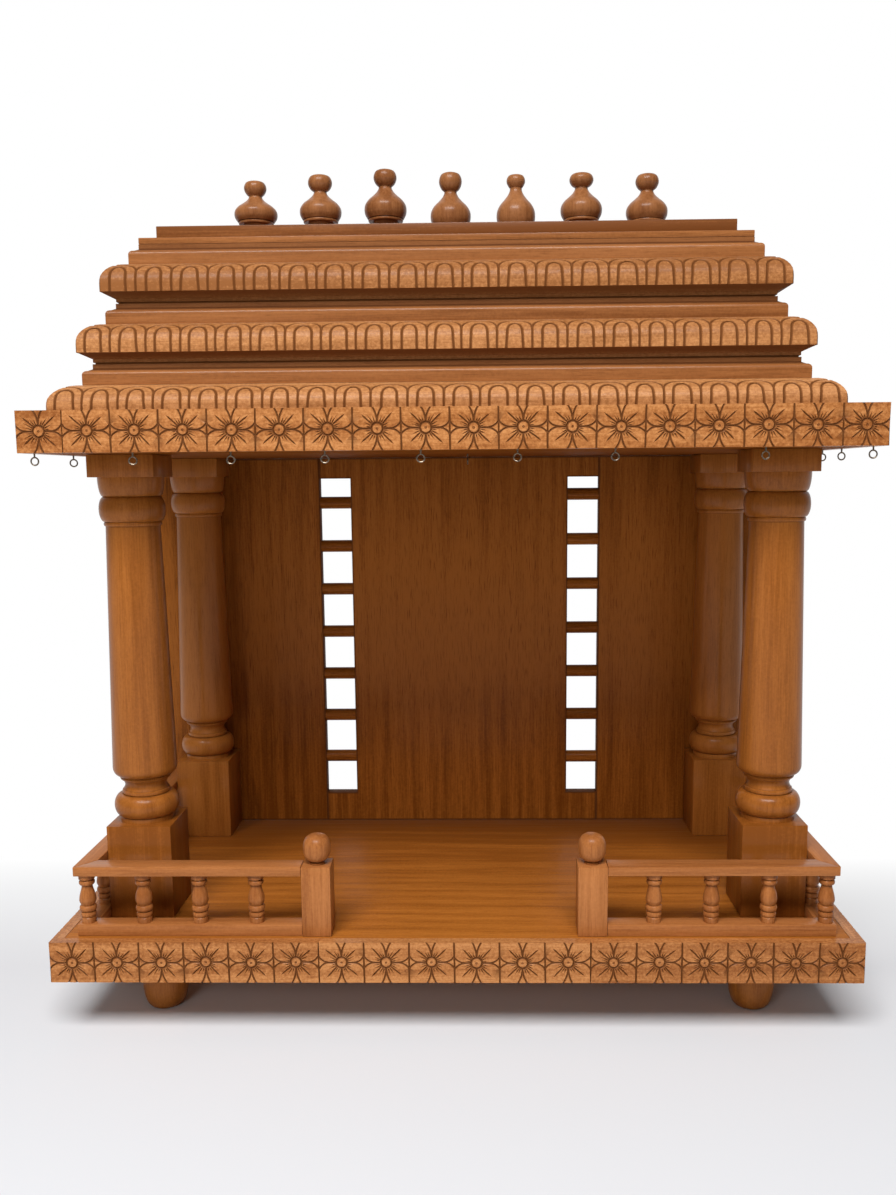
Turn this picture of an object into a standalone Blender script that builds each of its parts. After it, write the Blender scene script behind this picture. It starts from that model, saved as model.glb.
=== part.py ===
"""Pooja mandir: a teak household shrine that stands on four turned feet.

A deck edged with carved strips carries four turned columns, a low balustrade
with an entrance between two newels, and a boarded back with two tall slots
crossed by round bars. The columns carry a canopy box, and on it stand three
tiers of petal and ovolo mouldings, a cap, a plate and a row of seven finials.

Metres, +Z up. The front faces -Y. The origin is on the floor under the middle
of the deck.
"""

import math
from typing import NamedTuple

import bmesh
import bpy
from mathutils import Vector

# Clearances
GAP = 0.0003                    # between pieces that touch
TENON = 0.004                   # how far a turned end runs into its own block

# Base
BASE_WIDTH = 0.914
BASE_DEPTH = 0.457
BASE_STRIP_HEIGHT = 0.047       # carved strip round the deck
BASE_STRIP_THICKNESS = 0.013
FRONT_STRIPS = 3                # the front strip is made of equal lengths
DECK_THICKNESS = 0.019
BEARER_WIDTH = 0.070

# Feet
FOOT_HEIGHT = 0.070
FOOT_DIAMETER = 0.054
FOOT_SOLE_DIAMETER = 0.034
FOOT_SEAT_DIAMETER = 0.0486     # under the bearer
FOOT_WAIST_DIAMETER = 0.0518
FOOT_WAIST_HEIGHT = 0.050
FOOT_SHOULDER_HEIGHT = 0.0294   # the foot is rounded from here down to its sole
FOOT_SIDE_INSET = 0.1025        # foot axis from the side of the base
FOOT_FRONT_INSET = 0.0925       # foot axis from the front and from the back

# Columns
STOCK = 0.0755                  # square section that the columns are turned from
COLUMN_SIDE_INSET = 0.0472      # outer face of the plinths from the side of the base
COLUMN_FRONT_INSET = 0.071      # front face of the front plinths from the deck's front
OPENING_HEIGHT = 0.544          # deck to ceiling
PLINTH_HEIGHT = 0.1114
ABACUS_HEIGHT = 0.0254
TURNED_CLEAR = 0.0003           # the turning stays this far inside the stock
BASE_FILLET_HEIGHT = 0.006
BASE_FILLET_RADIUS = 0.0312
BASE_TORUS_HEIGHT = 0.0265
BASE_TORUS_ROOT = 0.0290
LOWER_RING_HEIGHT = 0.0055
LOWER_RING_RADIUS = 0.0278
COVE_HEIGHT = 0.0115
COVE_RADIUS = 0.0241
COVE_LIP = 0.0262
UPPER_RING_HEIGHT = 0.0058
UPPER_RING_RADIUS = 0.0295
SHAFT_HEEL_HEIGHT = 0.0100      # rounded lower end of the shaft
SHAFT_HEEL_RADIUS = 0.0300
SHAFT_TOP_RADIUS = 0.0308
NECK_RING_HEIGHT = 0.0048
NECK_RING_RADIUS = 0.0327
NECK_TORUS_HEIGHT = 0.0290
NECK_TORUS_ROOT = 0.0315
BELL_HEIGHT = 0.0220            # cushion under the abacus
BELL_FOOT_RADIUS = 0.0322

# Back
BACK_THICKNESS = 0.018
SIDE_BOARD_WIDTH = 0.2535       # from the side of the base to the slot
SLOT_WIDTH = 0.0455
SLOT_BOTTOM = 0.043             # above the deck
SLOT_HEAD_GAP = 0.0295          # from the slots' heads to the ceiling
BAR_DIAMETER = 0.0175
BAR_SPACING = 0.0645            # about how far apart the bars are
BAR_TENON = 0.003
LEFT_BAR_FOOT_GAP = 0.0555      # lowest bar's axis from the slot's foot
LEFT_BAR_HEAD_GAP = 0.0350      # highest bar's axis from the slot's head
RIGHT_BAR_FOOT_GAP = 0.0535
RIGHT_BAR_HEAD_GAP = 0.0249

# Balustrade
RAIL_SIDE_INSET = 0.026         # handrail's outer face from the side of the base
RAIL_FRONT_INSET = 0.016        # handrail's front face from the front of the base
RAILING_HEIGHT = 0.0825         # deck to the top of the handrails
HANDRAIL_HEIGHT = 0.011
HANDRAIL_FRONT_WIDTH = 0.024
BOTTOM_RAIL_HEIGHT = 0.0138
BOTTOM_RAIL_OVERHANG = 0.0015   # the handrail stands this far past the bottom rail
BALUSTER_DIAMETER = 0.0192
FRONT_BALUSTER_SPACING = 0.0645 # about how far apart the balusters are
FRONT_BALUSTER_END = 0.0535     # last front baluster's axis from the newel
SIDE_BALUSTER_SPACING = 0.056
SIDE_BALUSTER_END = 0.0187      # last side baluster's axis from the back boards
NEWEL_STOCK = 0.033
NEWEL_PAST_JOINT = 0.0037       # newel's axis outside the joint of the front strips
NEWEL_HEIGHT = 0.0815
BALL_DIAMETER = 0.0315
BALL_HEIGHT = 0.0340
BALL_SEAT_DIAMETER = 0.0180
BALL_SEAT_HEIGHT = 0.0020

# Canopy box
CANOPY_STRIP_HEIGHT = 0.0443
CANOPY_STRIP_THICKNESS = 0.013

# Roof tiers, from the canopy's edge inwards
TIERS = 3
TIER_STEP = 0.0219              # each ovolo stands back this far from the one below
FIRST_OVOLO_INSET = 0.0588
FIRST_PETAL_OVERHANG = 0.0303   # the petal's face stands this far past the ovolo on it
PETAL_OVERHANG = 0.0260
ROOF_SHIFT = -0.0062            # the roof sits a little to the left on the canopy
FIRST_PETAL_HEIGHT = 0.0298     # the lowest petal board has no neck
PETAL_HEIGHT = 0.0440
PETAL_NECK_HEIGHT = 0.0050
PETAL_NECK_INSET = 0.0138       # neck from the petal's face
PETAL_SLANT_HEIGHT = 0.0060
PETAL_ROUND_HEIGHT = 0.0245
OVOLO_HEIGHT = 0.0232
OVOLO_FACE_HEIGHT = 0.0108
OVOLO_ROUND = 0.0048
OVOLO_NECK_INSET = 0.0093
OVOLO_SLOPE_RISE = 0.0022       # from the small round up to the neck
CAP_HEIGHT = 0.0070
PLATE_HEIGHT = 0.0155
PLATE_STEP = 0.0160             # the plate stands back this far from the cap

# Finials
FINIAL_END_INSET = 0.0910       # end finials from the ends of the plate
FINIAL_SHIFT = -0.0025          # their row sits less far to the left than the roof
FINIAL_FOOT_HEIGHT = 0.0045
FINIAL_FOOT_RADIUS = 0.0205
FINIAL_STEM_RADIUS = 0.0150
FINIAL_RING_HEIGHT = 0.0035
FINIAL_RING_RADIUS = 0.0212

# Facets round each turned piece
COLUMN_STEPS = 18
BALUSTER_STEPS = 8
BAR_STEPS = 12
FINIAL_STEPS = 10
FOOT_STEPS = 14
BALL_STEPS = 12


class Finial(NamedTuple):
    """One hand-turned finial: no two are quite alike."""

    height: float
    body_height: float
    body_diameter: float
    knob_height: float
    knob_diameter: float


FINIALS = (
    Finial(0.0727, 0.0300, 0.0520, 0.0175, 0.0270),
    Finial(0.0789, 0.0334, 0.0506, 0.0192, 0.0291),
    Finial(0.0842, 0.0377, 0.0513, 0.0197, 0.0279),
    Finial(0.0796, 0.0405, 0.0490, 0.0219, 0.0276),
    Finial(0.0762, 0.0457, 0.0470, 0.0156, 0.0225),
    Finial(0.0769, 0.0370, 0.0503, 0.0164, 0.0290),
    Finial(0.0750, 0.0355, 0.0501, 0.0189, 0.0280),
)

# Outlines as shares of a turning's radius and of its height, from the top down
BALUSTER_OUTLINE = (
    (0.95, 1.00), (0.95, 0.90), (0.78, 0.87), (0.90, 0.81), (0.62, 0.75), (0.98, 0.48),
    (0.80, 0.36), (1.00, 0.30), (0.78, 0.23), (0.92, 0.16), (0.86, 0.00),
)
FINIAL_OUTLINE = (
    (0.31, 1.00), (0.34, 0.90), (0.50, 0.75), (0.82, 0.58), (1.00, 0.30), (0.96, 0.14), (0.83, 0.00),
)

# Heights above the floor and planes that several pieces share
STRIP_BOTTOM = FOOT_HEIGHT
DECK_TOP = STRIP_BOTTOM + BASE_STRIP_HEIGHT
DECK_BOTTOM = DECK_TOP - DECK_THICKNESS
CEILING = DECK_TOP + OPENING_HEIGHT
CANOPY_TOP = CEILING + CANOPY_STRIP_HEIGHT
HALF_WIDTH = BASE_WIDTH / 2
HALF_DEPTH = BASE_DEPTH / 2
FRONT = -HALF_DEPTH
BACK_FACE = HALF_DEPTH - BACK_THICKNESS     # front face of the back boards
FRONT_COLUMN_Y = FRONT + COLUMN_FRONT_INSET + STOCK / 2
BACK_COLUMN_Y = BACK_FACE - GAP - STOCK / 2
COLUMN_OUTER = HALF_WIDTH - COLUMN_SIDE_INSET
COLUMN_X = COLUMN_OUTER - STOCK / 2
SLOT_OUTER = HALF_WIDTH - SIDE_BOARD_WIDTH
SLOT_TOP = OPENING_HEIGHT - SLOT_HEAD_GAP   # above the deck
SLOT_INNER = SLOT_OUTER - SLOT_WIDTH
RAIL_OUTER = HALF_WIDTH - RAIL_SIDE_INSET
RAIL_FRONT = FRONT + RAIL_FRONT_INSET
HANDRAIL_SIDE_INNER = COLUMN_OUTER + GAP
RAIL_BACK = BACK_FACE - GAP
SIDE_RAIL_OUTER = RAIL_OUTER - BOTTOM_RAIL_OVERHANG
BOTTOM_RAIL_FRONT = RAIL_FRONT + BOTTOM_RAIL_OVERHANG
BOTTOM_RAIL_BACK = RAIL_FRONT + HANDRAIL_FRONT_WIDTH - BOTTOM_RAIL_OVERHANG
NEWEL_X = BASE_WIDTH / FRONT_STRIPS / 2 + NEWEL_PAST_JOINT
NEWEL_OUTER = NEWEL_X + NEWEL_STOCK / 2
NEWEL_Y = RAIL_FRONT + NEWEL_STOCK / 2
SIDE_RAIL_MIDDLE = (SIDE_RAIL_OUTER + HANDRAIL_SIDE_INNER) / 2
FRONT_RAIL_MIDDLE = (BOTTOM_RAIL_FRONT + BOTTOM_RAIL_BACK) / 2


# Scene, materials and objects

def clear_scene():
    """Remove every object that the file holds."""
    for leftover in list(bpy.data.objects):
        bpy.data.objects.remove(leftover, do_unlink=True)


def collection(name):
    """Return a new collection under the scene's own one."""
    made = bpy.data.collections.new(name)
    bpy.context.scene.collection.children.link(made)
    return made


def wood(name, colour, roughness):
    """Return a plain Principled material for one kind of piece."""
    material = bpy.data.materials.new(name)
    material.use_nodes = True
    shader = material.node_tree.nodes["Principled BSDF"]
    shader.inputs["Base Color"].default_value = (*colour, 1.0)
    shader.inputs["Roughness"].default_value = roughness
    shader.inputs["Metallic"].default_value = 0.0
    return material


def add_object(name, mesh, location, material, home):
    """Link a mesh as a named object at its place."""
    made = bpy.data.objects.new(name, mesh)
    made.location = location
    if material is not None:
        mesh.materials.append(material)
    home.objects.link(made)
    return made


def hide_helper(helper):
    """Mark an object as one that only shapes others."""
    helper.hide_render = True
    helper.display_type = "WIRE"


def union(target, helper):
    """Join a helper to a piece with a Boolean modifier."""
    joined = target.modifiers.new(helper.name, "BOOLEAN")
    joined.operation = "UNION"
    joined.solver = "EXACT"
    joined.object = helper


# Basic shapes

def block(name, low, high, material, home):
    """Return a box between two corners, with its origin under its middle."""
    size = Vector(high) - Vector(low)
    shape = bmesh.new()
    bmesh.ops.create_cube(shape, size=1.0)
    bmesh.ops.translate(shape, verts=shape.verts, vec=(0, 0, 0.5))
    bmesh.ops.scale(shape, verts=shape.verts, vec=size)
    mesh = bpy.data.meshes.new(name)
    shape.to_mesh(mesh)
    shape.free()
    middle = (Vector(low) + Vector(high)) / 2
    return add_object(name, mesh, (middle.x, middle.y, low[2]), material, home)


def turned(name, profile, steps, location, material, home):
    """Return a turning: a profile of (radius, height) swept about its axis.

    The profile runs from the top down and starts and ends on the axis.
    """
    mesh = bpy.data.meshes.new(name)
    points = [(radius, 0.0, height) for radius, height in profile]
    edges = [(index, index + 1) for index in range(len(points) - 1)]
    mesh.from_pydata(points, edges, [])
    made = add_object(name, mesh, location, material, home)
    screw = made.modifiers.new("turning", "SCREW")
    screw.axis = "Z"
    screw.steps = steps
    screw.render_steps = steps
    screw.use_merge_vertices = True
    screw.merge_threshold = 0.00001
    screw.use_smooth_shade = True
    return made


def mitred_board(name, inset, bottom, rings, material, home):
    """Return a moulded board with mitred corners all round.

    The board starts at an inset from the canopy's edge. Each ring is an
    extra inset and a height above the board's underside, from the bottom up.
    """
    shape = bmesh.new()
    bmesh.ops.create_cube(shape, size=BASE_WIDTH)
    top = max(shape.faces, key=lambda face: face.calc_center_median().z)
    under = min(shape.faces, key=lambda face: face.calc_center_median().z)
    place_ring(under, inset + rings[0][0], rings[0][1])
    place_ring(top, inset + rings[1][0], rings[1][1])
    for extra, height in rings[2:]:
        made = bmesh.ops.extrude_discrete_faces(shape, faces=[top])
        top = made["faces"][0]
        place_ring(top, inset + extra, height)
    mesh = bpy.data.meshes.new(name)
    shape.to_mesh(mesh)
    shape.free()
    return add_object(name, mesh, (ROOF_SHIFT, 0, bottom), material, home)


def place_ring(face, inset, height):
    """Set a face's four corners at an inset from the canopy's edge."""
    for corner in face.verts:
        corner.co.x = math.copysign(HALF_WIDTH - inset, corner.co.x)
        corner.co.y = math.copysign(HALF_DEPTH - inset, corner.co.y)
        corner.co.z = height


def prism(name, outline, bottom, height, material, home):
    """Return a flat outline in plan, raised to a height."""
    shape = bmesh.new()
    corners = [shape.verts.new((x, y, 0)) for x, y in outline]
    floor = shape.faces.new(corners)
    made = bmesh.ops.extrude_face_region(shape, geom=[floor], use_keep_orig=True)
    raised = [item for item in made["geom"] if isinstance(item, bmesh.types.BMVert)]
    bmesh.ops.translate(shape, verts=raised, vec=(0, 0, height))
    bmesh.ops.recalc_face_normals(shape, faces=shape.faces)
    mesh = bpy.data.meshes.new(name)
    shape.to_mesh(mesh)
    shape.free()
    return add_object(name, mesh, (0, 0, bottom), material, home)


def spread(span, spacing):
    """Return how many pieces fill a span end to end, and their exact pitch."""
    steps = max(1, round(span / spacing))
    return steps + 1, span / steps


# Turned profiles, each a run of (radius, height) from the top down

def bead(top, bottom, root, crown, points=5):
    """Return a half-round that swells from its root radius to its crown."""
    middle = (top + bottom) / 2
    half = (top - bottom) / 2
    run = []
    for index in range(points + 1):
        angle = math.pi * index / points
        run.append((root + (crown - root) * math.sin(angle), middle + half * math.cos(angle)))
    return run


def quarter(top, bottom, small, large, widens_down, points=3):
    """Return a convex quarter-round between two radii."""
    run = []
    for index in range(points + 1):
        angle = math.pi / 2 * index / points
        if widens_down:
            place = (small + (large - small) * math.sin(angle), bottom + (top - bottom) * math.cos(angle))
        else:
            place = (small + (large - small) * math.cos(angle), top - (top - bottom) * math.sin(angle))
        run.append(place)
    return run


def column_profile():
    """Return the turned part of a column, between its two square blocks."""
    crown = STOCK / 2 - TURNED_CLEAR
    top = OPENING_HEIGHT - GAP - ABACUS_HEIGHT
    bell_foot = top - BELL_HEIGHT
    torus_foot = bell_foot - NECK_TORUS_HEIGHT
    ring_foot = torus_foot - NECK_RING_HEIGHT
    fillet_top = PLINTH_HEIGHT + BASE_FILLET_HEIGHT
    base_torus_top = fillet_top + BASE_TORUS_HEIGHT
    lower_ring_top = base_torus_top + LOWER_RING_HEIGHT
    cove_top = lower_ring_top + COVE_HEIGHT
    upper_ring_top = cove_top + UPPER_RING_HEIGHT
    heel_top = upper_ring_top + SHAFT_HEEL_HEIGHT
    run = [(0.0, top + TENON), (crown, top + TENON)]
    run += quarter(top, bell_foot, BELL_FOOT_RADIUS, crown, widens_down=False)
    run += bead(bell_foot, torus_foot, NECK_TORUS_ROOT, crown, points=6)
    run += [(NECK_RING_RADIUS, torus_foot), (NECK_RING_RADIUS, ring_foot)]
    run += [(SHAFT_TOP_RADIUS, ring_foot)]
    run += [(crown, heel_top)]
    run += quarter(heel_top, upper_ring_top, SHAFT_HEEL_RADIUS, crown, widens_down=False)[1:]
    run += bead(upper_ring_top, cove_top, COVE_LIP, UPPER_RING_RADIUS, points=3)
    run += [(COVE_RADIUS, (cove_top + lower_ring_top) / 2), (COVE_LIP, lower_ring_top)]
    run += [(LOWER_RING_RADIUS, lower_ring_top), (LOWER_RING_RADIUS, base_torus_top)]
    run += bead(base_torus_top, fillet_top, BASE_TORUS_ROOT, crown, points=6)
    run += [(BASE_FILLET_RADIUS, fillet_top), (BASE_FILLET_RADIUS, PLINTH_HEIGHT - TENON)]
    run += [(0.0, PLINTH_HEIGHT - TENON)]
    return run


def baluster_profile():
    """Return one baluster, from the handrail down to its tenon in the rail."""
    radius = BALUSTER_DIAMETER / 2
    top = RAILING_HEIGHT - HANDRAIL_HEIGHT - GAP
    bottom = BOTTOM_RAIL_HEIGHT
    height = top - bottom
    run = [(0.0, top)]
    run += [(radius * share, bottom + height * rise) for share, rise in BALUSTER_OUTLINE]
    run += [(run[-1][0], bottom - TENON), (0.0, bottom - TENON)]
    return run


def bar_profile(length):
    """Return one plain round bar, lying along its axis from end to end."""
    radius = BAR_DIAMETER / 2
    half = length / 2
    return [(0.0, half), (radius, half), (radius, -half), (0.0, -half)]


def finial_profile(finial):
    """Return one finial: knob, neck, pot-shaped body, ring, stem and foot."""
    body = finial.body_diameter / 2
    body_top = finial.height - finial.knob_height
    body_foot = body_top - finial.body_height
    ring_foot = body_foot - FINIAL_RING_HEIGHT
    outline = [(body * share, body_foot + finial.body_height * rise) for share, rise in FINIAL_OUTLINE]
    run = [(0.0, finial.height)]
    run += bead(finial.height, body_top, outline[0][0], finial.knob_diameter / 2, points=5)
    run += outline[1:]
    run += [(FINIAL_RING_RADIUS, body_foot), (FINIAL_RING_RADIUS, ring_foot)]
    run += [(FINIAL_STEM_RADIUS, ring_foot)]
    run += [(FINIAL_STEM_RADIUS, FINIAL_FOOT_HEIGHT), (FINIAL_FOOT_RADIUS, FINIAL_FOOT_HEIGHT)]
    run += [(FINIAL_FOOT_RADIUS, 0.0), (0.0, 0.0)]
    return run


def foot_profile():
    """Return one bun foot, from its seat under the bearer to its sole."""
    radius = FOOT_DIAMETER / 2
    sole = FOOT_SOLE_DIAMETER / 2
    top = FOOT_HEIGHT - GAP
    run = [(0.0, top), (FOOT_SEAT_DIAMETER / 2, top), (FOOT_WAIST_DIAMETER / 2, FOOT_WAIST_HEIGHT)]
    run += quarter(FOOT_SHOULDER_HEIGHT, 0.0, sole, radius, widens_down=False, points=4)
    run += [(0.0, 0.0)]
    return run


def ball_profile():
    """Return the barrel-shaped ball on a newel, with its small seat."""
    seat = BALL_SEAT_DIAMETER / 2
    run = [(0.0, BALL_HEIGHT)]
    run += bead(BALL_HEIGHT, BALL_SEAT_HEIGHT, seat, BALL_DIAMETER / 2, points=8)
    run += [(seat, 0.0), (0.0, 0.0)]
    return run


# Sub-assemblies

def make_base(home):
    """Make the deck, the bearers under it and the carved strips round it."""
    board = wood("teak board", (0.36, 0.15, 0.045), 0.38)
    carved = wood("teak carved strip", (0.45, 0.20, 0.07), 0.45)
    inside_x = HALF_WIDTH - BASE_STRIP_THICKNESS - GAP
    inside_y = HALF_DEPTH - BASE_STRIP_THICKNESS - GAP
    block("deck", (-inside_x, -inside_y, DECK_BOTTOM), (inside_x, inside_y, DECK_TOP), board, home)
    foot_x = HALF_WIDTH - FOOT_SIDE_INSET
    for side, name in ((-1, "bearer_left"), (1, "bearer_right")):
        low = (side * foot_x - BEARER_WIDTH / 2, -inside_y, STRIP_BOTTOM)
        high = (side * foot_x + BEARER_WIDTH / 2, inside_y, DECK_BOTTOM - GAP)
        block(name, low, high, board, home)
    length = BASE_WIDTH / FRONT_STRIPS
    for index, name in enumerate(("left", "middle", "right")):
        start = -HALF_WIDTH + index * length + (GAP if index else 0.0)
        low = (start, FRONT, STRIP_BOTTOM)
        high = (-HALF_WIDTH + (index + 1) * length, -inside_y - GAP, DECK_TOP)
        block(f"base_strip_front_{name}", low, high, carved, home)
    block("base_strip_back", (-HALF_WIDTH, inside_y + GAP, STRIP_BOTTOM),
          (HALF_WIDTH, HALF_DEPTH, DECK_TOP), carved, home)
    for side, name in ((-1, "left"), (1, "right")):
        near = side * (inside_x + GAP)
        far = side * HALF_WIDTH
        low = (min(near, far), -inside_y, STRIP_BOTTOM)
        high = (max(near, far), inside_y, DECK_TOP)
        block(f"base_strip_{name}", low, high, carved, home)


def make_feet(home):
    """Make the four feet under the bearers."""
    material = wood("teak feet", (0.30, 0.13, 0.045), 0.42)
    for side, across in ((-1, "left"), (1, "right")):
        for end, along in ((-1, "front"), (1, "back")):
            place = (side * (HALF_WIDTH - FOOT_SIDE_INSET), end * (HALF_DEPTH - FOOT_FRONT_INSET), 0)
            turned(f"foot_{along}_{across}", foot_profile(), FOOT_STEPS, place, material, home)


def make_columns(home, helpers):
    """Make the four columns, each one length of stock turned between its square ends."""
    material = wood("teak column", (0.38, 0.16, 0.05), 0.34)
    half = STOCK / 2
    for side, across in ((-1, "left"), (1, "right")):
        for y, along in ((FRONT_COLUMN_Y, "front"), (BACK_COLUMN_Y, "back")):
            x = side * COLUMN_X
            foot = DECK_TOP + GAP
            head = CEILING - GAP
            name = f"column_{along}_{across}"
            column = turned(name, column_profile(), COLUMN_STEPS, (x, y, DECK_TOP), material, home)
            plinth = block(f"{name} plinth", (x - half, y - half, foot),
                           (x + half, y + half, DECK_TOP + PLINTH_HEIGHT), None, helpers)
            abacus = block(f"{name} abacus", (x - half, y - half, head - ABACUS_HEIGHT),
                           (x + half, y + half, head), None, helpers)
            for square in (plinth, abacus):
                hide_helper(square)
                union(column, square)


def make_back(home, helpers):
    """Make the three back boards and the round bars across the two slots."""
    material = wood("teak back board", (0.24, 0.10, 0.03), 0.40)
    low_z = DECK_TOP + GAP
    high_z = CEILING - GAP
    inner = SLOT_INNER - GAP
    middle = block("back_board_middle", (-inner, BACK_FACE, low_z),
                   (inner, HALF_DEPTH, high_z), material, home)
    reach = SLOT_OUTER - GAP
    fillers = (
        ("slot foot filler", low_z, DECK_TOP + SLOT_BOTTOM),
        ("slot head filler", DECK_TOP + SLOT_TOP, high_z),
    )
    for name, bottom, top in fillers:
        filler = block(name, (-reach, BACK_FACE, bottom), (reach, HALF_DEPTH, top), None, helpers)
        hide_helper(filler)
        union(middle, filler)
    bars = (
        (-1, "left", LEFT_BAR_FOOT_GAP, LEFT_BAR_HEAD_GAP),
        (1, "right", RIGHT_BAR_FOOT_GAP, RIGHT_BAR_HEAD_GAP),
    )
    for side, name, foot_gap, head_gap in bars:
        near = side * SLOT_OUTER
        far = side * HALF_WIDTH
        low = (min(near, far), BACK_FACE, low_z)
        high = (max(near, far), HALF_DEPTH, high_z)
        board = block(f"back_board_{name}", low, high, material, home)
        length = SLOT_WIDTH + BAR_TENON - GAP
        centre_x = side * (SLOT_INNER + length / 2)
        first = SLOT_BOTTOM + foot_gap
        count, pitch = spread(SLOT_TOP - head_gap - first, BAR_SPACING)
        place = (centre_x, (BACK_FACE + HALF_DEPTH) / 2, DECK_TOP + first)
        bar = turned(f"bars {name}", bar_profile(length), BAR_STEPS, place, None, helpers)
        bar.rotation_euler = (0, side * math.pi / 2, 0)
        row = bar.modifiers.new("row of bars", "ARRAY")
        row.count = count
        row.use_relative_offset = False
        row.use_constant_offset = True
        row.constant_offset_displace = (-side * pitch, 0, 0)
        hide_helper(bar)
        union(board, bar)


def baluster_row(name, count, pitch, start, direction, helpers):
    """Return a helper that holds a row of balusters along X or Y."""
    run = turned(name, baluster_profile(), BALUSTER_STEPS, start, None, helpers)
    row = run.modifiers.new("row of balusters", "ARRAY")
    row.count = count
    row.use_relative_offset = False
    row.use_constant_offset = True
    row.constant_offset_displace = Vector(direction) * pitch
    hide_helper(run)
    return run


def make_balustrade(home, helpers):
    """Make the newels with their balls, the rails and the balusters."""
    material = wood("teak rail", (0.42, 0.18, 0.06), 0.36)
    floor = DECK_TOP + GAP
    handrail_bottom = DECK_TOP + RAILING_HEIGHT - HANDRAIL_HEIGHT
    half = NEWEL_STOCK / 2
    for side, name in ((-1, "left"), (1, "right")):
        x = side * NEWEL_X
        newel_top = DECK_TOP + NEWEL_HEIGHT
        block(f"newel_{name}", (x - half, NEWEL_Y - half, floor),
              (x + half, NEWEL_Y + half, newel_top), material, home)
        seat = (x, NEWEL_Y, newel_top + GAP)
        turned(f"newel_ball_{name}", ball_profile(), BALL_STEPS, seat, material, home)

        ends = sorted((side * SIDE_RAIL_OUTER, side * (NEWEL_OUTER + GAP)))
        front = block(f"balustrade_front_{name}", (ends[0], BOTTOM_RAIL_FRONT, floor),
                      (ends[1], BOTTOM_RAIL_BACK, DECK_TOP + BOTTOM_RAIL_HEIGHT), material, home)
        start = (side * SIDE_RAIL_MIDDLE, FRONT_RAIL_MIDDLE, DECK_TOP)
        count, pitch = spread(SIDE_RAIL_MIDDLE - NEWEL_OUTER - FRONT_BALUSTER_END, FRONT_BALUSTER_SPACING)
        union(front, baluster_row(f"front balusters {name}", count, pitch, start, (-side, 0, 0), helpers))

        ends = sorted((side * SIDE_RAIL_OUTER, side * HANDRAIL_SIDE_INNER))
        flank = block(f"balustrade_side_{name}", (ends[0], BOTTOM_RAIL_BACK + GAP, floor),
                      (ends[1], RAIL_BACK, DECK_TOP + BOTTOM_RAIL_HEIGHT), material, home)
        count, pitch = spread(RAIL_BACK - SIDE_BALUSTER_END - FRONT_RAIL_MIDDLE, SIDE_BALUSTER_SPACING)
        start = (side * SIDE_RAIL_MIDDLE, FRONT_RAIL_MIDDLE + pitch, DECK_TOP)
        union(flank, baluster_row(f"side balusters {name}", count - 1, pitch, start, (0, 1, 0), helpers))

        inner_front = RAIL_FRONT + HANDRAIL_FRONT_WIDTH
        newel_side = NEWEL_OUTER + GAP
        outline = [(side * RAIL_OUTER, RAIL_FRONT), (side * newel_side, RAIL_FRONT),
                   (side * newel_side, inner_front), (side * HANDRAIL_SIDE_INNER, inner_front)]
        prism(f"handrail_front_{name}", outline, handrail_bottom, HANDRAIL_HEIGHT, material, home)
        mitre = GAP * 2
        outline = [(side * RAIL_OUTER, RAIL_FRONT + mitre),
                   (side * HANDRAIL_SIDE_INNER, inner_front + mitre),
                   (side * HANDRAIL_SIDE_INNER, RAIL_BACK), (side * RAIL_OUTER, RAIL_BACK)]
        prism(f"handrail_side_{name}", outline, handrail_bottom, HANDRAIL_HEIGHT, material, home)


def make_canopy(home):
    """Make the ceiling block and the carved strips round it."""
    carved = wood("teak canopy strip", (0.46, 0.20, 0.07), 0.45)
    board = wood("teak ceiling", (0.30, 0.12, 0.04), 0.42)
    inside_x = HALF_WIDTH - CANOPY_STRIP_THICKNESS - GAP
    inside_y = HALF_DEPTH - CANOPY_STRIP_THICKNESS - GAP
    block("ceiling_board", (-inside_x, -inside_y, CEILING), (inside_x, inside_y, CANOPY_TOP), board, home)
    for end, name in ((-1, "front"), (1, "back")):
        planes = sorted((end * HALF_DEPTH, end * (inside_y + GAP)))
        block(f"canopy_strip_{name}", (-HALF_WIDTH, planes[0], CEILING),
              (HALF_WIDTH, planes[1], CANOPY_TOP), carved, home)
    for side, name in ((-1, "left"), (1, "right")):
        planes = sorted((side * HALF_WIDTH, side * (inside_x + GAP)))
        block(f"canopy_strip_{name}", (planes[0], -inside_y, CEILING),
              (planes[1], inside_y, CANOPY_TOP), carved, home)


def round_rings(inset, bottom, width, height, points=4):
    """Return the rings of a quarter-round that leans in as it rises."""
    rings = []
    for index in range(1, points + 1):
        angle = math.pi / 2 * index / points
        rings.append((inset + width * (1 - math.cos(angle)), bottom + height * math.sin(angle)))
    return rings


def petal_rings(overhang, has_neck):
    """Return a petal board's rings: neck, slant, face and round up to the ovolo."""
    if has_neck:
        face_top = PETAL_HEIGHT - PETAL_ROUND_HEIGHT
        slant_top = PETAL_NECK_HEIGHT + PETAL_SLANT_HEIGHT
        rings = [(PETAL_NECK_INSET, 0.0), (PETAL_NECK_INSET, PETAL_NECK_HEIGHT), (0.0, slant_top)]
    else:
        face_top = FIRST_PETAL_HEIGHT - PETAL_ROUND_HEIGHT
        rings = [(0.0, 0.0)]
    return rings + [(0.0, face_top)] + round_rings(0.0, face_top, overhang, PETAL_ROUND_HEIGHT)


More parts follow.
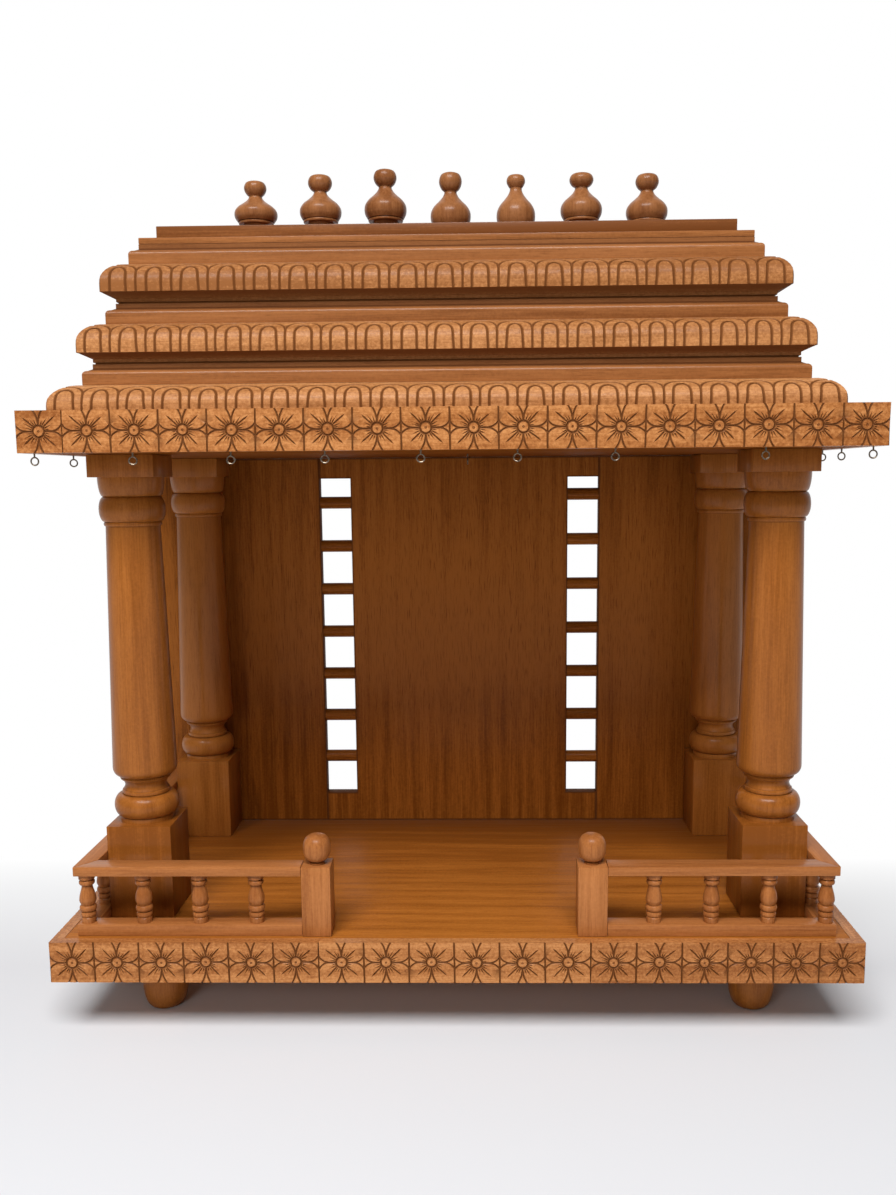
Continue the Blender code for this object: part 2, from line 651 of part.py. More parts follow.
def ovolo_rings():
    """Return an ovolo board's rings: face, small round, slope and neck."""
    round_top = OVOLO_FACE_HEIGHT + OVOLO_ROUND
    rings = [(0.0, 0.0), (0.0, OVOLO_FACE_HEIGHT)]
    rings += round_rings(0.0, OVOLO_FACE_HEIGHT, OVOLO_ROUND, OVOLO_ROUND, points=3)
    return rings + [(OVOLO_NECK_INSET, round_top + OVOLO_SLOPE_RISE), (OVOLO_NECK_INSET, OVOLO_HEIGHT)]


def make_roof(home):
    """Make the three tiers of mouldings, the cap and the plate.

    Returns:
        The height of the plate's top and half its length.
    """
    petal = wood("teak petal moulding", (0.44, 0.20, 0.08), 0.42)
    plain = wood("teak ovolo moulding", (0.33, 0.13, 0.05), 0.34)
    level = CANOPY_TOP + GAP
    for index in range(TIERS):
        inset = FIRST_OVOLO_INSET + index * TIER_STEP
        overhang = PETAL_OVERHANG if index else FIRST_PETAL_OVERHANG
        rings = petal_rings(overhang, has_neck=index > 0)
        mitred_board(f"petal_moulding_{index + 1}", inset - overhang, level, rings, petal, home)
        level += rings[-1][1] + GAP
        rings = ovolo_rings()
        mitred_board(f"ovolo_moulding_{index + 1}", inset, level, rings, plain, home)
        level += rings[-1][1] + GAP
    cap_inset = inset + OVOLO_NECK_INSET
    mitred_board("roof_cap", cap_inset, level, [(0.0, 0.0), (0.0, CAP_HEIGHT)], plain, home)
    level += CAP_HEIGHT + GAP
    plate_inset = cap_inset + PLATE_STEP
    mitred_board("roof_plate", plate_inset, level, [(0.0, 0.0), (0.0, PLATE_HEIGHT)], plain, home)
    return level + PLATE_HEIGHT, HALF_WIDTH - plate_inset


def make_finials(seat, half_length, home):
    """Stand the finials in a row along the middle of the plate."""
    material = wood("teak finial", (0.40, 0.18, 0.07), 0.36)
    reach = half_length - FINIAL_END_INSET
    pitch = 2 * reach / (len(FINIALS) - 1)
    for index, finial in enumerate(FINIALS):
        place = (FINIAL_SHIFT - reach + index * pitch, 0, seat + GAP)
        turned(f"finial_{index + 1}", finial_profile(finial), FINIAL_STEPS, place, material, home)


def main():
    """Build the whole shrine."""
    clear_scene()
    home = collection("pooja mandir")
    helpers = collection("helpers")
    make_base(home)
    make_feet(home)
    make_columns(home, helpers)
    make_back(home, helpers)
    make_balustrade(home, helpers)
    make_canopy(home)
    plate_top, plate_half_length = make_roof(home)
    make_finials(plate_top, plate_half_length, home)


main()
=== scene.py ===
"""Looks of the pooja mandir: carved and turned teak under a satin varnish.

Every piece stands where its solid stands in the frame, and takes its main
sizes from that solid's box. The carving is cut into the surface as V-shaped
grooves: a sheet of wood is marked out flat, triangulated along its cuts, and
then laid over the face or the moulding that it belongs to.
"""

import logging
import math
import random
from collections.abc import Callable, Iterable, Mapping, Sequence
from dataclasses import dataclass
from enum import Enum
from functools import partial

import bmesh
import bpy
import numpy as np
from mathutils import Matrix, Vector
from mathutils.geometry import delaunay_2d_cdt


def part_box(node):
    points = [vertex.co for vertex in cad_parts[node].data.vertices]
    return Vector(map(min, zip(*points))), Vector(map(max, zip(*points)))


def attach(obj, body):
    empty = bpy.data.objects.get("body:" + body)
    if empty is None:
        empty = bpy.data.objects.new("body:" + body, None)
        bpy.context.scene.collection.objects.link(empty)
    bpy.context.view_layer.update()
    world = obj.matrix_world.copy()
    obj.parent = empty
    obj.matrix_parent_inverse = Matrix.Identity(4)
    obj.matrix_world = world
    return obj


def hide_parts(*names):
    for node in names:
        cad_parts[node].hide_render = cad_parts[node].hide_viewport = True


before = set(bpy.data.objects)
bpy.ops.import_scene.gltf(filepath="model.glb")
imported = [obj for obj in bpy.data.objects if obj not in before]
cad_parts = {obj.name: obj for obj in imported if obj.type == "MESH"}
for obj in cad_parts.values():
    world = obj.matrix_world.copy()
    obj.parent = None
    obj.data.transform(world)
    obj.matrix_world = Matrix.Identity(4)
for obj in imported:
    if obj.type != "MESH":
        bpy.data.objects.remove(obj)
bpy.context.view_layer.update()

LOG = logging.getLogger("pooja mandir")
MM = 0.001
EASING = 0.7 * MM
WELD = 0.001 * MM
# Where in its plank the middle of a part may lie, along and across the fibres.
HEART = ((-9.0, 9.0), (-0.06, 0.06), (0.03, 0.10))
TONE_SPREAD = 0.03
SEED = 7
CHANCE = random.Random(SEED)

Point = tuple[float, float]
Colour = tuple[float, float, float]
Shape = bmesh.types.BMesh
Material = bpy.types.Material
Socket = bpy.types.NodeSocket


class Grain(Enum):
    """Which way the wood's fibres run through a part."""

    ALONG_X = (0, 1, 2)
    ALONG_Y = (1, 2, 0)
    ALONG_Z = (2, 0, 1)

    def turned(self, place: Vector) -> Vector:
        """Return a place with the direction of the fibres as its first number."""
        first, second, third = self.value
        return Vector((place[first], place[second], place[third]))


class Slot(Enum):
    """The record's material slots."""

    BOARD = "board"
    CARVED = "carved_strip"
    FOOT = "foot"
    COLUMN = "column"
    BACK = "back_board"
    RAIL = "rail"
    PETAL = "petal_moulding"
    PLAIN = "plain_moulding"
    FINIAL = "finial"


Dress = tuple[Material, Slot]


# Materials

class Graph:
    """The nodes of a material or a world, added one after another."""

    def __init__(self, owner: Material | bpy.types.World) -> None:
        """Start on the nodes that a new material or world has."""
        owner.use_nodes = True
        self.tree = owner.node_tree

    def give(self, node: bpy.types.Node, inputs: Mapping[str | int, object]) -> None:
        """Give some of a node's inputs their values.

        Args:
            node: The node.
            inputs: A number, a colour or another node's output for each input.
        """
        for name, value in inputs.items():
            if isinstance(value, Socket):
                self.tree.links.new(value, node.inputs[name])
            else:
                node.inputs[name].default_value = value

    def node(self, kind: str, inputs: Mapping[str | int, object] | None = None, **settings: object) -> bpy.types.Node:
        """Add a node.

        Args:
            kind: The type of node.
            inputs: What some of its inputs are given.
            settings: The node's own properties.

        Returns:
            The new node.
        """
        made = self.tree.nodes.new(kind)
        for name, value in settings.items():
            setattr(made, name, value)
        self.give(made, inputs or {})
        return made

    def attribute(self, name: str, output: str) -> Socket:
        """Read one of the mesh's own attributes."""
        return self.node("ShaderNodeAttribute", attribute_name=name).outputs[output]

    def stretched(self, vector: Socket, scale: Colour) -> Socket:
        """Scale a vector by a different amount along each axis."""
        return self.node("ShaderNodeMapping", {"Vector": vector, "Scale": scale}).outputs["Vector"]

    def noise(self, vector: Socket, scale: Colour, detail: float, roughness: float) -> Socket:
        """Return soft noise from 0 to 1, with its periods in a metre along each axis."""
        inputs = {"Vector": self.stretched(vector, scale), "Scale": 1.0, "Detail": detail, "Roughness": roughness}
        return self.node("ShaderNodeTexNoise", inputs).outputs["Fac"]

    def maths(self, operation: str, first: object, second: object) -> Socket:
        """Return the result of a sum on two numbers."""
        return self.node("ShaderNodeMath", {0: first, 1: second}, operation=operation).outputs["Value"]

    def ramp(self, fac: Socket, stops: Sequence[tuple[float, Colour]]) -> Socket:
        """Turn a level into a colour that changes between stops.

        Args:
            fac: The level.
            stops: Each a level and the colour there.

        Returns:
            The colour.
        """
        made = self.node("ShaderNodeValToRGB", {"Fac": fac})
        elements = made.color_ramp.elements
        while len(elements) < len(stops):
            elements.new(0.5)
        for element, (position, colour) in zip(elements, stops):
            element.position = position
            element.color = (*colour, 1.0)
        return made.outputs["Color"]

    def levels(self, fac: Socket, low: float, high: float, to: Point) -> Socket:
        """Stretch a number's range to a new pair, and hold the number inside it."""
        inputs = {"Value": fac, "From Min": low, "From Max": high, "To Min": to[0], "To Max": to[1]}
        return self.node("ShaderNodeMapRange", inputs).outputs["Result"]

    def mixed(self, fac: Socket, first: Socket, second: Colour) -> Socket:
        """Mix a plain colour into another.

        Args:
            fac: The share of the plain colour.
            first: The colour that it is mixed into.
            second: The plain colour.

        Returns:
            The mixed colour.
        """
        inputs = {"Factor": fac, "A": first, "B": (*second, 1.0)}
        made = self.node("ShaderNodeMix", inputs, data_type="RGBA", blend_type="MIX")
        return next(socket for socket in made.outputs if socket.type == "RGBA")


@dataclass(frozen=True)
class Teak:
    """One tone of varnished teak.

    The pattern follows the wood: it reads the place inside the plank that
    each part was cut from, which the mesh keeps in its attributes. Colours
    are linear, and the weights from broad to rings say how much each layer
    of the pattern counts.
    """

    name: str
    light: Colour
    middle: Colour
    dark: Colour
    # The groove colour darkens the cuts, and is also painted into recesses, inner corners and rims as shade.
    groove: Colour = (0.10, 0.031, 0.008)
    spread: float = 0.15
    broad: float = 0.26
    streaks: float = 0.28
    fibres: float = 0.34
    mottle: float = 0.20
    rings: float = 0.08
    pores: float = 0.55
    pore_levels: Point = (0.55, 0.68)
    roughness: Point = (0.30, 0.44)
    streak_levels: Point = (0.3, 0.7)
    specular: float = 0.12
    coat: float = 0.14
    coat_roughness: float = 0.14
    full_cut: float = 0.55
    cut_and_shade_colour: float = 0.92
    cut_roughness: float = 0.3
    coatless_cut: float = 0.7
    relief: Point = (0.7, 0.4)
    bump: Point = (0.30, 0.15 * MM)

    def pattern(self, graph: Graph, grain: Socket) -> tuple[Socket, ...]:
        """Lay out the wood's own pattern.

        Args:
            graph: Takes the nodes.
            grain: The place inside the plank, with the fibres along X.

        Returns:
            The level from dark to light, the streaks, the fibres and the pores.
        """
        broad, streak, fibre, mottle, pores = (graph.noise(grain, *layer) for layer in (
            ((1.5, 15.0, 15.0), 3.0, 0.55),
            ((6.0, 150.0, 150.0), 4.0, 0.62),
            ((11.0, 430.0, 430.0), 3.0, 0.65),
            ((300.0, 330.0, 330.0), 2.0, 0.70),
            ((42.0, 950.0, 950.0), 2.0, 0.55),
        ))
        ring = graph.node(
            "ShaderNodeTexWave",
            {"Vector": graph.stretched(grain, (0.16, 1.0, 1.0)),
             "Scale": 15.0, "Distortion": 7.0, "Detail": 3.0, "Detail Scale": 0.8},
            wave_type="RINGS", rings_direction="X", wave_profile="SIN",
        )
        level = graph.maths("MULTIPLY", broad, self.broad)
        for part, weight in (
            (streak, self.streaks), (fibre, self.fibres), (mottle, self.mottle), (ring.outputs["Fac"], self.rings),
        ):
            level = graph.maths("ADD", level, graph.maths("MULTIPLY", part, weight))
        middle = 0.5 * (self.broad + self.streaks + self.fibres + self.mottle + self.rings)
        return graph.maths("SUBTRACT", level, middle - 0.5), streak, fibre, pores

    def material(self) -> Material:
        """Make the finish.

        Returns:
            A material that reads the grain, the tone and the cuts of a piece, and the painted light and shade that the
            tone and the cut layer also carry.
        """
        made = bpy.data.materials.new(self.name)
        graph = Graph(made)
        level, streak, fibre, pores = self.pattern(graph, graph.attribute("grain", "Vector"))
        # The tone is partly the plank's own, and on some pieces painted light and shade.
        level = graph.maths("ADD", level, graph.attribute("tone", "Fac"))
        stops = ((0.5 - self.spread, self.dark), (0.5, self.middle), (0.5 + self.spread, self.light))
        speck = graph.levels(pores, *self.pore_levels, (0.0, self.pores))
        colour = graph.mixed(speck, graph.ramp(level, stops), self.dark)
        # This layer darkens the cuts, and also paints shade into recesses, inner corners and rims.
        cut = graph.levels(graph.attribute("carve", "Fac"), 0.0, self.full_cut, (0.0, self.cut_and_shade_colour))
        rough = graph.levels(streak, *self.streak_levels, self.roughness)
        height = graph.maths(
            "ADD", graph.maths("MULTIPLY", fibre, self.relief[0]), graph.maths("MULTIPLY", pores, self.relief[1]))
        bump = graph.node("ShaderNodeBump", {"Strength": self.bump[0], "Distance": self.bump[1], "Height": height})
        graph.give(graph.tree.nodes["Principled BSDF"], {
            "Base Color": graph.mixed(cut, colour, self.groove),
            "Roughness": graph.maths("ADD", rough, graph.maths("MULTIPLY", cut, self.cut_roughness)),
            "Coat Weight": graph.levels(cut, 0.0, self.coatless_cut, (self.coat, 0.0)),
            "Coat Roughness": self.coat_roughness,
            "Specular IOR Level": self.specular,
            "Normal": bump.outputs["Normal"],
        })
        return made


@dataclass(frozen=True)
class Metal:
    """The dull plated wire of the screw eyes."""

    name: str = "screw eye wire"
    colour: Colour = (0.25, 0.20, 0.145)
    tarnished: float = 0.55
    metallic: float = 0.9
    roughness: float = 0.35

    def material(self) -> Material:
        """Make the finish.

        Returns:
            A material with small dull patches.
        """
        made = bpy.data.materials.new(self.name)
        graph = Graph(made)
        place = graph.node("ShaderNodeTexCoord").outputs["Object"]
        patches = graph.noise(place, (600.0, 600.0, 600.0), 2.0, 0.6)
        dull = tuple(part * self.tarnished for part in self.colour)
        graph.give(graph.tree.nodes["Principled BSDF"], {
            "Base Color": graph.ramp(patches, ((0.4, dull), (0.6, self.colour))),
            "Metallic": self.metallic,
            "Roughness": self.roughness,
        })
        return made


# Parts and pieces

class Piece:
    """A named piece, put together from parts that each have their own wood."""

    def __init__(self, name: str) -> None:
        """Start an empty piece.

        Args:
            name: What the object will be called.
        """
        self.name = name
        self.shape = bmesh.new()
        self.add_layers(self.shape)

    @staticmethod
    def add_layers(shape: Shape) -> None:
        """Give a shape the layers that the wood's pattern reads.

        Args:
            shape: The shape, which keeps any of them that it has.
        """
        for layers, name in (
            (shape.verts.layers.float_vector, "grain"),
            (shape.verts.layers.float, "tone"),
            (shape.verts.layers.float, "carve"),
        ):
            if name not in layers:
                layers.new(name)

    def add(self, part: Shape, grain: Grain, tone: float | None = None) -> None:
        """Take in a part and cut it from its own place in a plank.

        Args:
            part: The part's shape, which is used up.
            grain: Which way its fibres run.
            tone: How much lighter or darker the part is, as the plank's own tone or as painted light and shade, or None
                for chance.
        """
        self.add_layers(part)
        grains = part.verts.layers.float_vector["grain"]
        tones = part.verts.layers.float["tone"]
        low = Vector(min(vert.co[axis] for vert in part.verts) for axis in range(3))
        high = Vector(max(vert.co[axis] for vert in part.verts) for axis in range(3))
        heart = Vector([CHANCE.uniform(*span) for span in HEART])
        heart -= grain.turned((low + high) / 2)
        shade = CHANCE.uniform(-TONE_SPREAD, TONE_SPREAD) if tone is None else tone
        for vert in part.verts:
            vert[grains] = grain.turned(vert.co) + heart
            vert[tones] += shade
        mesh = bpy.data.meshes.new(f"{self.name} part")
        part.to_mesh(mesh)
        part.free()
        self.shape.from_mesh(mesh)
        bpy.data.meshes.remove(mesh)

    def finish(self, material: Material, slot: Slot | None, nodes: Iterable[str], crease: float = 32.0) -> None:
        """Make the piece an object that rides on the body.

        Args:
            material: Its finish.
            slot: The record's slot that the finish stands for; not used.
            nodes: The solids that the piece stands for.
            crease: Edges sharper than this angle in degrees stay sharp.
        """
        mesh = bpy.data.meshes.new(self.name)
        self.shape.to_mesh(mesh)
        self.shape.free()
        mesh.materials.append(material)
        mesh.shade_smooth()
        mesh.set_sharp_from_angle(angle=math.radians(crease))
        made = bpy.data.objects.new(self.name, mesh)
        bpy.context.scene.collection.objects.link(made)
        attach(made, "root")
        names = list(nodes)
        if names:
            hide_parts(*names)
        LOG.info("%s: %d faces, stands for %s", self.name, len(mesh.polygons), ", ".join(names) or "nothing")


def extent(node: str) -> tuple[Vector, Vector, Vector]:
    """Return the low corner, the high corner and the middle of a solid's box."""
    low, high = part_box(node)
    return low, high, (low + high) / 2


def lone_piece(node: str, ending: str, part: Shape, grain: Grain, dress: Dress, tone: float | None = None) -> None:
    """Build a piece of one part.

    Args:
        node: The solid that it stands for, which gives it its name.
        ending: What its name adds to the solid's.
        part: Its shape, which is used up.
        grain: Which way its fibres run.
        dress: Its material and the record's slot that this stands for.
        tone: How much lighter or darker it is, or None for chance.
    """
    piece = Piece(f"{node}_{ending}")
    piece.add(part, grain, tone)
    piece.finish(*dress, [node])


def eased(shape: Shape, easing: float) -> Shape:
    """Round every arris of a board a little and return the board.

    Args:
        shape: The board.
        easing: How far its arrises are rounded.

    Returns:
        The same board.
    """
    bmesh.ops.bevel(
        shape, geom=shape.edges[:], offset=easing, offset_type="OFFSET", segments=2,
        profile=0.5, affect="EDGES", clamp_overlap=True, material=-1,
    )
    return shape


def plank(low: Sequence[float], high: Sequence[float], easing: float = EASING) -> Shape:
    """Make a board between two corners.

    Args:
        low: Its low corner.
        high: Its high corner.
        easing: How far its arrises are rounded.

    Returns:
        The closed board.
    """
    shape = bmesh.new()
    bmesh.ops.create_cube(shape, size=1.0)
    bmesh.ops.scale(shape, verts=shape.verts, vec=Vector(high) - Vector(low))
    bmesh.ops.translate(shape, verts=shape.verts, vec=(Vector(low) + Vector(high)) / 2)
    return eased(shape, easing)


def node_plank(node: str) -> Shape:
    """Return a board that fills a node's box."""
    return plank(*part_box(node))


def extruded(corners: Iterable[Sequence[float]], by: Sequence[float]) -> Shape:
    """Draw a face out into a solid.

    Args:
        corners: The face's corners in order.
        by: How far and which way it is drawn.

    Returns:
        The closed solid.
    """
    shape = bmesh.new()
    face = shape.faces.new([shape.verts.new(corner) for corner in corners])
    made = bmesh.ops.extrude_face_region(shape, geom=[face], use_keep_orig=True)["geom"]
    verts = [item for item in made if isinstance(item, bmesh.types.BMVert)]
    bmesh.ops.translate(shape, verts=verts, vec=by)
    bmesh.ops.recalc_face_normals(shape, faces=shape.faces)
    return shape


def raised(outline: Sequence[Point], bottom: float, top: float, easing: float = EASING) -> Shape:
    """Return a flat outline in plan, raised between two heights and eased."""
    return eased(extruded([(x, y, bottom) for x, y in outline], (0, 0, top - bottom)), easing)


def corner_shade_and_dirt(
    outline: Sequence[Point], width: float = 1.0 * MM, corner_darkness: float = 0.42,
    open_turn: float = 0.45, sharp_turn: float = 1.2,
) -> list[Colour]:
    """Mark the inner corners of a turning, which are darkened as painted shade and gathered dirt.

    Args:
        outline: Radius and height of each point, from the top down.
        width: How far the darkening spreads to each side of a corner.
        corner_darkness: The share of the groove colour painted into a sharp corner, as shade and dirt.
        open_turn: The turn in radians up to which a corner stays clean.
        sharp_turn: The turn from which it is darkest.

    Returns:
        Radius, height and darkening of each point, with some more points beside the corners.
    """
    shares = [0.0] * len(outline)
    for index in range(1, len(outline) - 1):
        before, here, after = (Vector(outline[index + step]) for step in (-1, 0, 1))
        first, second = here - before, after - here
        turn = math.atan2(first.cross(second), first.dot(second))
        if turn > open_turn:
            shares[index] = corner_darkness * min(1.0, turn / sharp_turn)
    run = []
    for index, (start, end) in enumerate(zip(outline, outline[1:])):
        run.append((*start, shares[index]))
        length = math.dist(start, end)
        if length > 3 * width:
            for share, near, far in ((shares[index], start, end), (shares[index + 1], end, start)):
                if share:
                    run.append((*Vector(near).lerp(Vector(far), width / length), 0.0))
    run.append((*outline[-1], 0.0))
    return run


def turning(outline: Sequence[Point], steps: int) -> Shape:
    """Return a turning about Z.

    Args:
        outline: Radius and height of each point, from the top down.
        steps: How many faces go round it.

    Returns:
        The closed turning, with painted shade and dirt in its inner corners.
    """
    shape = bmesh.new()
    Piece.add_layers(shape)
    carve = shape.verts.layers.float["carve"]
    verts = []
    # Inner corners take painted shade and dirt, in the layer that darkens the cuts.
    for radius, height, shade_and_dirt in corner_shade_and_dirt(outline):
        verts.append(shape.verts.new((radius, 0.0, height)))
        verts[-1][carve] = shade_and_dirt
    edges = [shape.edges.new(pair) for pair in zip(verts, verts[1:])]
    bmesh.ops.spin(
        shape, geom=verts + edges, cent=(0, 0, 0), axis=(0, 0, 1), dvec=(0, 0, 0),
        angle=2 * math.pi, steps=steps, use_merge=True, use_duplicate=False,
    )
    bmesh.ops.remove_doubles(shape, verts=shape.verts, dist=WELD)
    bmesh.ops.recalc_face_normals(shape, faces=shape.faces)
    return shape


def toned(shape: Shape, axis: int, stops: Sequence[Point]) -> Shape:
    """Let a board's tone change along one way.

    Args:
        shape: The board.
        axis: 0, 1 or 2 for X, Y or Z.
        stops: Each a distance from the board's low end and the tone there.

    Returns:
        The same shape, cut across at the stops.
    """
    Piece.add_layers(shape)
    low = min(vert.co[axis] for vert in shape.verts)
    across = Vector((0, 0, 0))
    across[axis] = 1.0
    places, levels = zip(*stops)
    for place in places[1:-1]:
        geom = shape.verts[:] + shape.edges[:] + shape.faces[:]
        bmesh.ops.bisect_plane(shape, geom=geom, dist=0.0, plane_co=across * (low + place), plane_no=across)
    tones = shape.verts.layers.float["tone"]
    for vert in shape.verts:
        vert[tones] = float(np.interp(vert.co[axis] - low, places, levels))
    return shape


def moved(shape: Shape, by: Sequence[float]) -> Shape:
    """Move a shape and return it."""
    bmesh.ops.translate(shape, verts=shape.verts, vec=by)
    return shape


def bead(top: float, bottom: float, root: float, crown: float, points: int) -> list[Point]:
    """Return a half-round of a turning, from the top down.

    Args:
        top: The height where it starts.
        bottom: The height where it ends.
        root: Its radius at both ends.
        crown: Its radius in the middle.
        points: How many steps it has.

    Returns:
        Radius and height of each point.
    """
    middle = (top + bottom) / 2
    half = (top - bottom) / 2
    angles = [math.pi * index / points for index in range(points + 1)]
    return [(root + (crown - root) * math.sin(a), middle + half * math.cos(a)) for a in angles]


def barrel(top: float, bottom: float, radius: float, points: int) -> list[Point]:
    """Return the outline of a ball with full shoulders, from the top down.

    Args:
        top: The height of its top.
        bottom: The height of its bottom.
        radius: Its radius in the middle.
        points: How many steps it has.

    Returns:
        Radius and height of each point between the two poles.
    """
    middle = (top + bottom) / 2
    half = (top - bottom) / 2
    angles = [math.pi * index / points for index in range(1, points)]
    return [(radius * math.sin(a) ** 0.66, middle + half * math.copysign(abs(math.cos(a)) ** 0.86, math.cos(a)))
            for a in angles]


def heel(top: float, bottom: float, large: float, small: float, points: int) -> list[Point]:
    """Return a convex quarter-round that narrows from the top down."""
    angles = [math.pi / 2 * index / points for index in range(points + 1)]
    return [(small + (large - small) * math.cos(a), top - (top - bottom) * math.sin(a)) for a in angles]


def flowing(points: Sequence[Point], between: int) -> list[Point]:
    """Return a smooth curve through points, with some more points in each span.

    Args:
        points: What it runs through.
        between: How many steps each span has.

    Returns:
        The points of the curve.
    """
    ends = [points[0], *points, points[-1]]
    run: list[Point] = []
    for index in range(len(points) - 1):
        before, start, end, after = (Vector(ends[index + step]) for step in range(4))
        for step in range(between):
            t = step / between
            place = 0.5 * (
                2 * start + (end - before) * t
                + (2 * before - 5 * start + 4 * end - after) * t * t
                + (3 * start - before - 3 * end + after) * t ** 3
            )
            run.append((place.x, place.y))
    run.append(tuple(points[-1]))
    return run


# Carving

@dataclass
class Cut:
    """One cut of a V tool, on a sheet marked out in millimetres."""

    line: list[Point]
    half_width: float = 1.1
    depth: float = 1.2
    closed: bool = False
    fine_ends: tuple[bool, bool] = (False, False)
    fine_share: float = 0.12
    margin: float = 2.0

    def shares(self) -> np.ndarray:
        """Return how much of its full width the cut has at each point.

        Returns:
            A share for each point of the line.
        """
        share = np.ones(len(self.line))
        for is_fine, end in zip(self.fine_ends, (0, -1)):
            if is_fine:
                share[end] = self.fine_share
        return share

    def edges(self) -> tuple[np.ndarray, np.ndarray, np.ndarray]:
        """Return the left edge, the middle and the right edge of the cut.

        Returns:
            Three rows of points, each as long as the line.
        """
        middle = np.array(self.line, float)
        if self.closed:
            ahead = np.roll(middle, -1, axis=0) - np.roll(middle, 1, axis=0)
        else:
            ahead = np.gradient(middle, axis=0)
        across = np.stack([-ahead[:, 1], ahead[:, 0]], axis=1)
        across /= np.linalg.norm(across, axis=1, keepdims=True)
        reach = across * (self.half_width * self.shares())[:, None]
        return middle + reach, middle, middle - reach

    def depths(self, places: np.ndarray) -> np.ndarray:
        """Return how deep the cut is at each place.

        Args:
            places: Points on the sheet.

        Returns:
            A depth in millimetres for each, 0 outside the cut.
        """
        middle = np.array(self.line, float)
        share = self.shares()
        if self.closed:
            middle = np.vstack([middle, middle[:1]])
            share = np.append(share, share[0])
        best = np.zeros(len(places))
        low = middle.min(0) - self.margin
        high = middle.max(0) + self.margin
        near = np.all((places > low) & (places < high), axis=1)
        chosen = places[near]
        found = np.zeros(len(chosen))
        for start, end, first, last in zip(middle, middle[1:], share, share[1:]):
            span = end - start
            along = np.clip((chosen - start) @ span / (span @ span), 0, 1)
            away = np.linalg.norm(chosen - start - along[:, None] * span, axis=1)
            size = first + (last - first) * along
            found = np.maximum(found, self.depth * size * np.clip(1 - away / (self.half_width * size), 0, 1))
        best[near] = found
        return best


@dataclass
class Sheet:
    """A flat sheet of wood, marked out in millimetres, with cuts in it.

    Rows are the heights at which the sheet is bent when it is laid over a
    moulding. The first and the last are its edges.
    """

    length: float
    rows: list[float]
    cuts: list[Cut]
    merging: float = 0.01

    def triangles(self) -> tuple[np.ndarray, list[list[int]], np.ndarray]:
        """Return the sheet's points, its triangles and the depth at each point.

        Returns:
            Points in millimetres, corners of each triangle by number, and depths.
        """
        points: list[Point] = []
        edges: list[tuple[int, int]] = []

        def run(line: Iterable[Sequence[float]], closed: bool = False) -> None:
            """Add a line of points with edges between them.

            Args:
                line: Its points.
                closed: Whether it ends where it starts.
            """
            first = len(points)
            points.extend((float(x), float(y)) for x, y in line)
            last = len(points) - 1
            edges.extend((index, index + 1) for index in range(first, last))
            if closed:
                edges.append((last, first))

        for row in self.rows:
            run([(0.0, row), (self.length, row)])
        for side in (0.0, self.length):
            run([(side, row) for row in self.rows])
        for cut in self.cuts:
            for line in cut.edges():
                run(line, cut.closed)
        made = delaunay_2d_cdt([Vector(p) for p in points], edges, [], 0, self.merging)
        places = np.array([tuple(vert) for vert in made[0]])
        low, high = self.rows[0], self.rows[-1]
        kept = []
        for triangle in made[2]:
            centre = places[triangle].mean(axis=0)
            if 0 < centre[0] < self.length and low < centre[1] < high:
                kept.append(list(triangle))
        depth = np.zeros(len(places))
        for cut in self.cuts:
            depth = np.maximum(depth, cut.depths(places))
        return places, kept, depth

    def laid(self, place: Callable[[float, float, float], Vector], full: float = 1.2) -> Shape:
        """Lay the sheet over a face.

        Args:
            place: Gives the point in metres for a length, a height and a depth in millimetres.
            full: The depth in millimetres at which the colour of a cut is fullest.

        Returns:
            The open shape, with the share of a full cut in its layer of cuts and painted shade.
        """
        places, triangles, depth = self.triangles()
        shape = bmesh.new()
        Piece.add_layers(shape)
        carve = shape.verts.layers.float["carve"]
        used = sorted({index for triangle in triangles for index in triangle})
        made = {}
        for index in used:
            along, height = places[index]
            vert = shape.verts.new(place(along, height, depth[index]))
            vert[carve] = min(1.0, depth[index] / full)
            made[index] = vert
        for triangle in triangles:
            shape.faces.new([made[index] for index in triangle])
        return shape


def backed(shape: Shape, directions: Sequence[Callable[[Vector], Vector]]) -> Shape:
    """Close an open carved sheet into a board.

    Args:
        shape: The open sheet.
        directions: Each gives where an edge's point goes next, from the front to the back.

    Returns:
        The same shape, closed.
    """
    carve = shape.verts.layers.float["carve"]
    rim = [edge for edge in shape.edges if edge.is_boundary]
    for follow in directions:
        made = bmesh.ops.extrude_edge_only(shape, edges=rim)["geom"]
        verts = [item for item in made if isinstance(item, bmesh.types.BMVert)]
        for vert in verts:
            vert.co = follow(vert.co)
            vert[carve] = 0.0
        rim = [item for item in made if isinstance(item, bmesh.types.BMEdge) and item.is_boundary]
    bmesh.ops.holes_fill(shape, edges=rim, sides=0)
    bmesh.ops.recalc_face_normals(shape, faces=shape.faces)
    return shape


def arc(centre: Point, radii: Point, start: float, end: float, points: int) -> list[Point]:
    """Return points along part of an ellipse, with its angles in degrees."""
    angles = [math.radians(start + (end - start) * index / points) for index in range(points + 1)]
    return [(centre[0] + radii[0] * math.cos(a), centre[1] + radii[1] * math.sin(a)) for a in angles]


def bow(start: Point, control: Point, end: Point, points: int) -> list[Point]:
    """Return points along a curve that leans towards its control point.

    Args:
        start: Where it starts.
        control: The point that it leans towards.
        end: Where it ends.
        points: How many steps it has.

    Returns:
        The points in order.
    """
    run = []
    for index in range(points + 1):
        t = index / points
        weights = ((1 - t) ** 2, 2 * t * (1 - t), t * t)
        run.append(tuple(sum(w * p[axis] for w, p in zip(weights, (start, control, end))) for axis in (0, 1)))
    return run


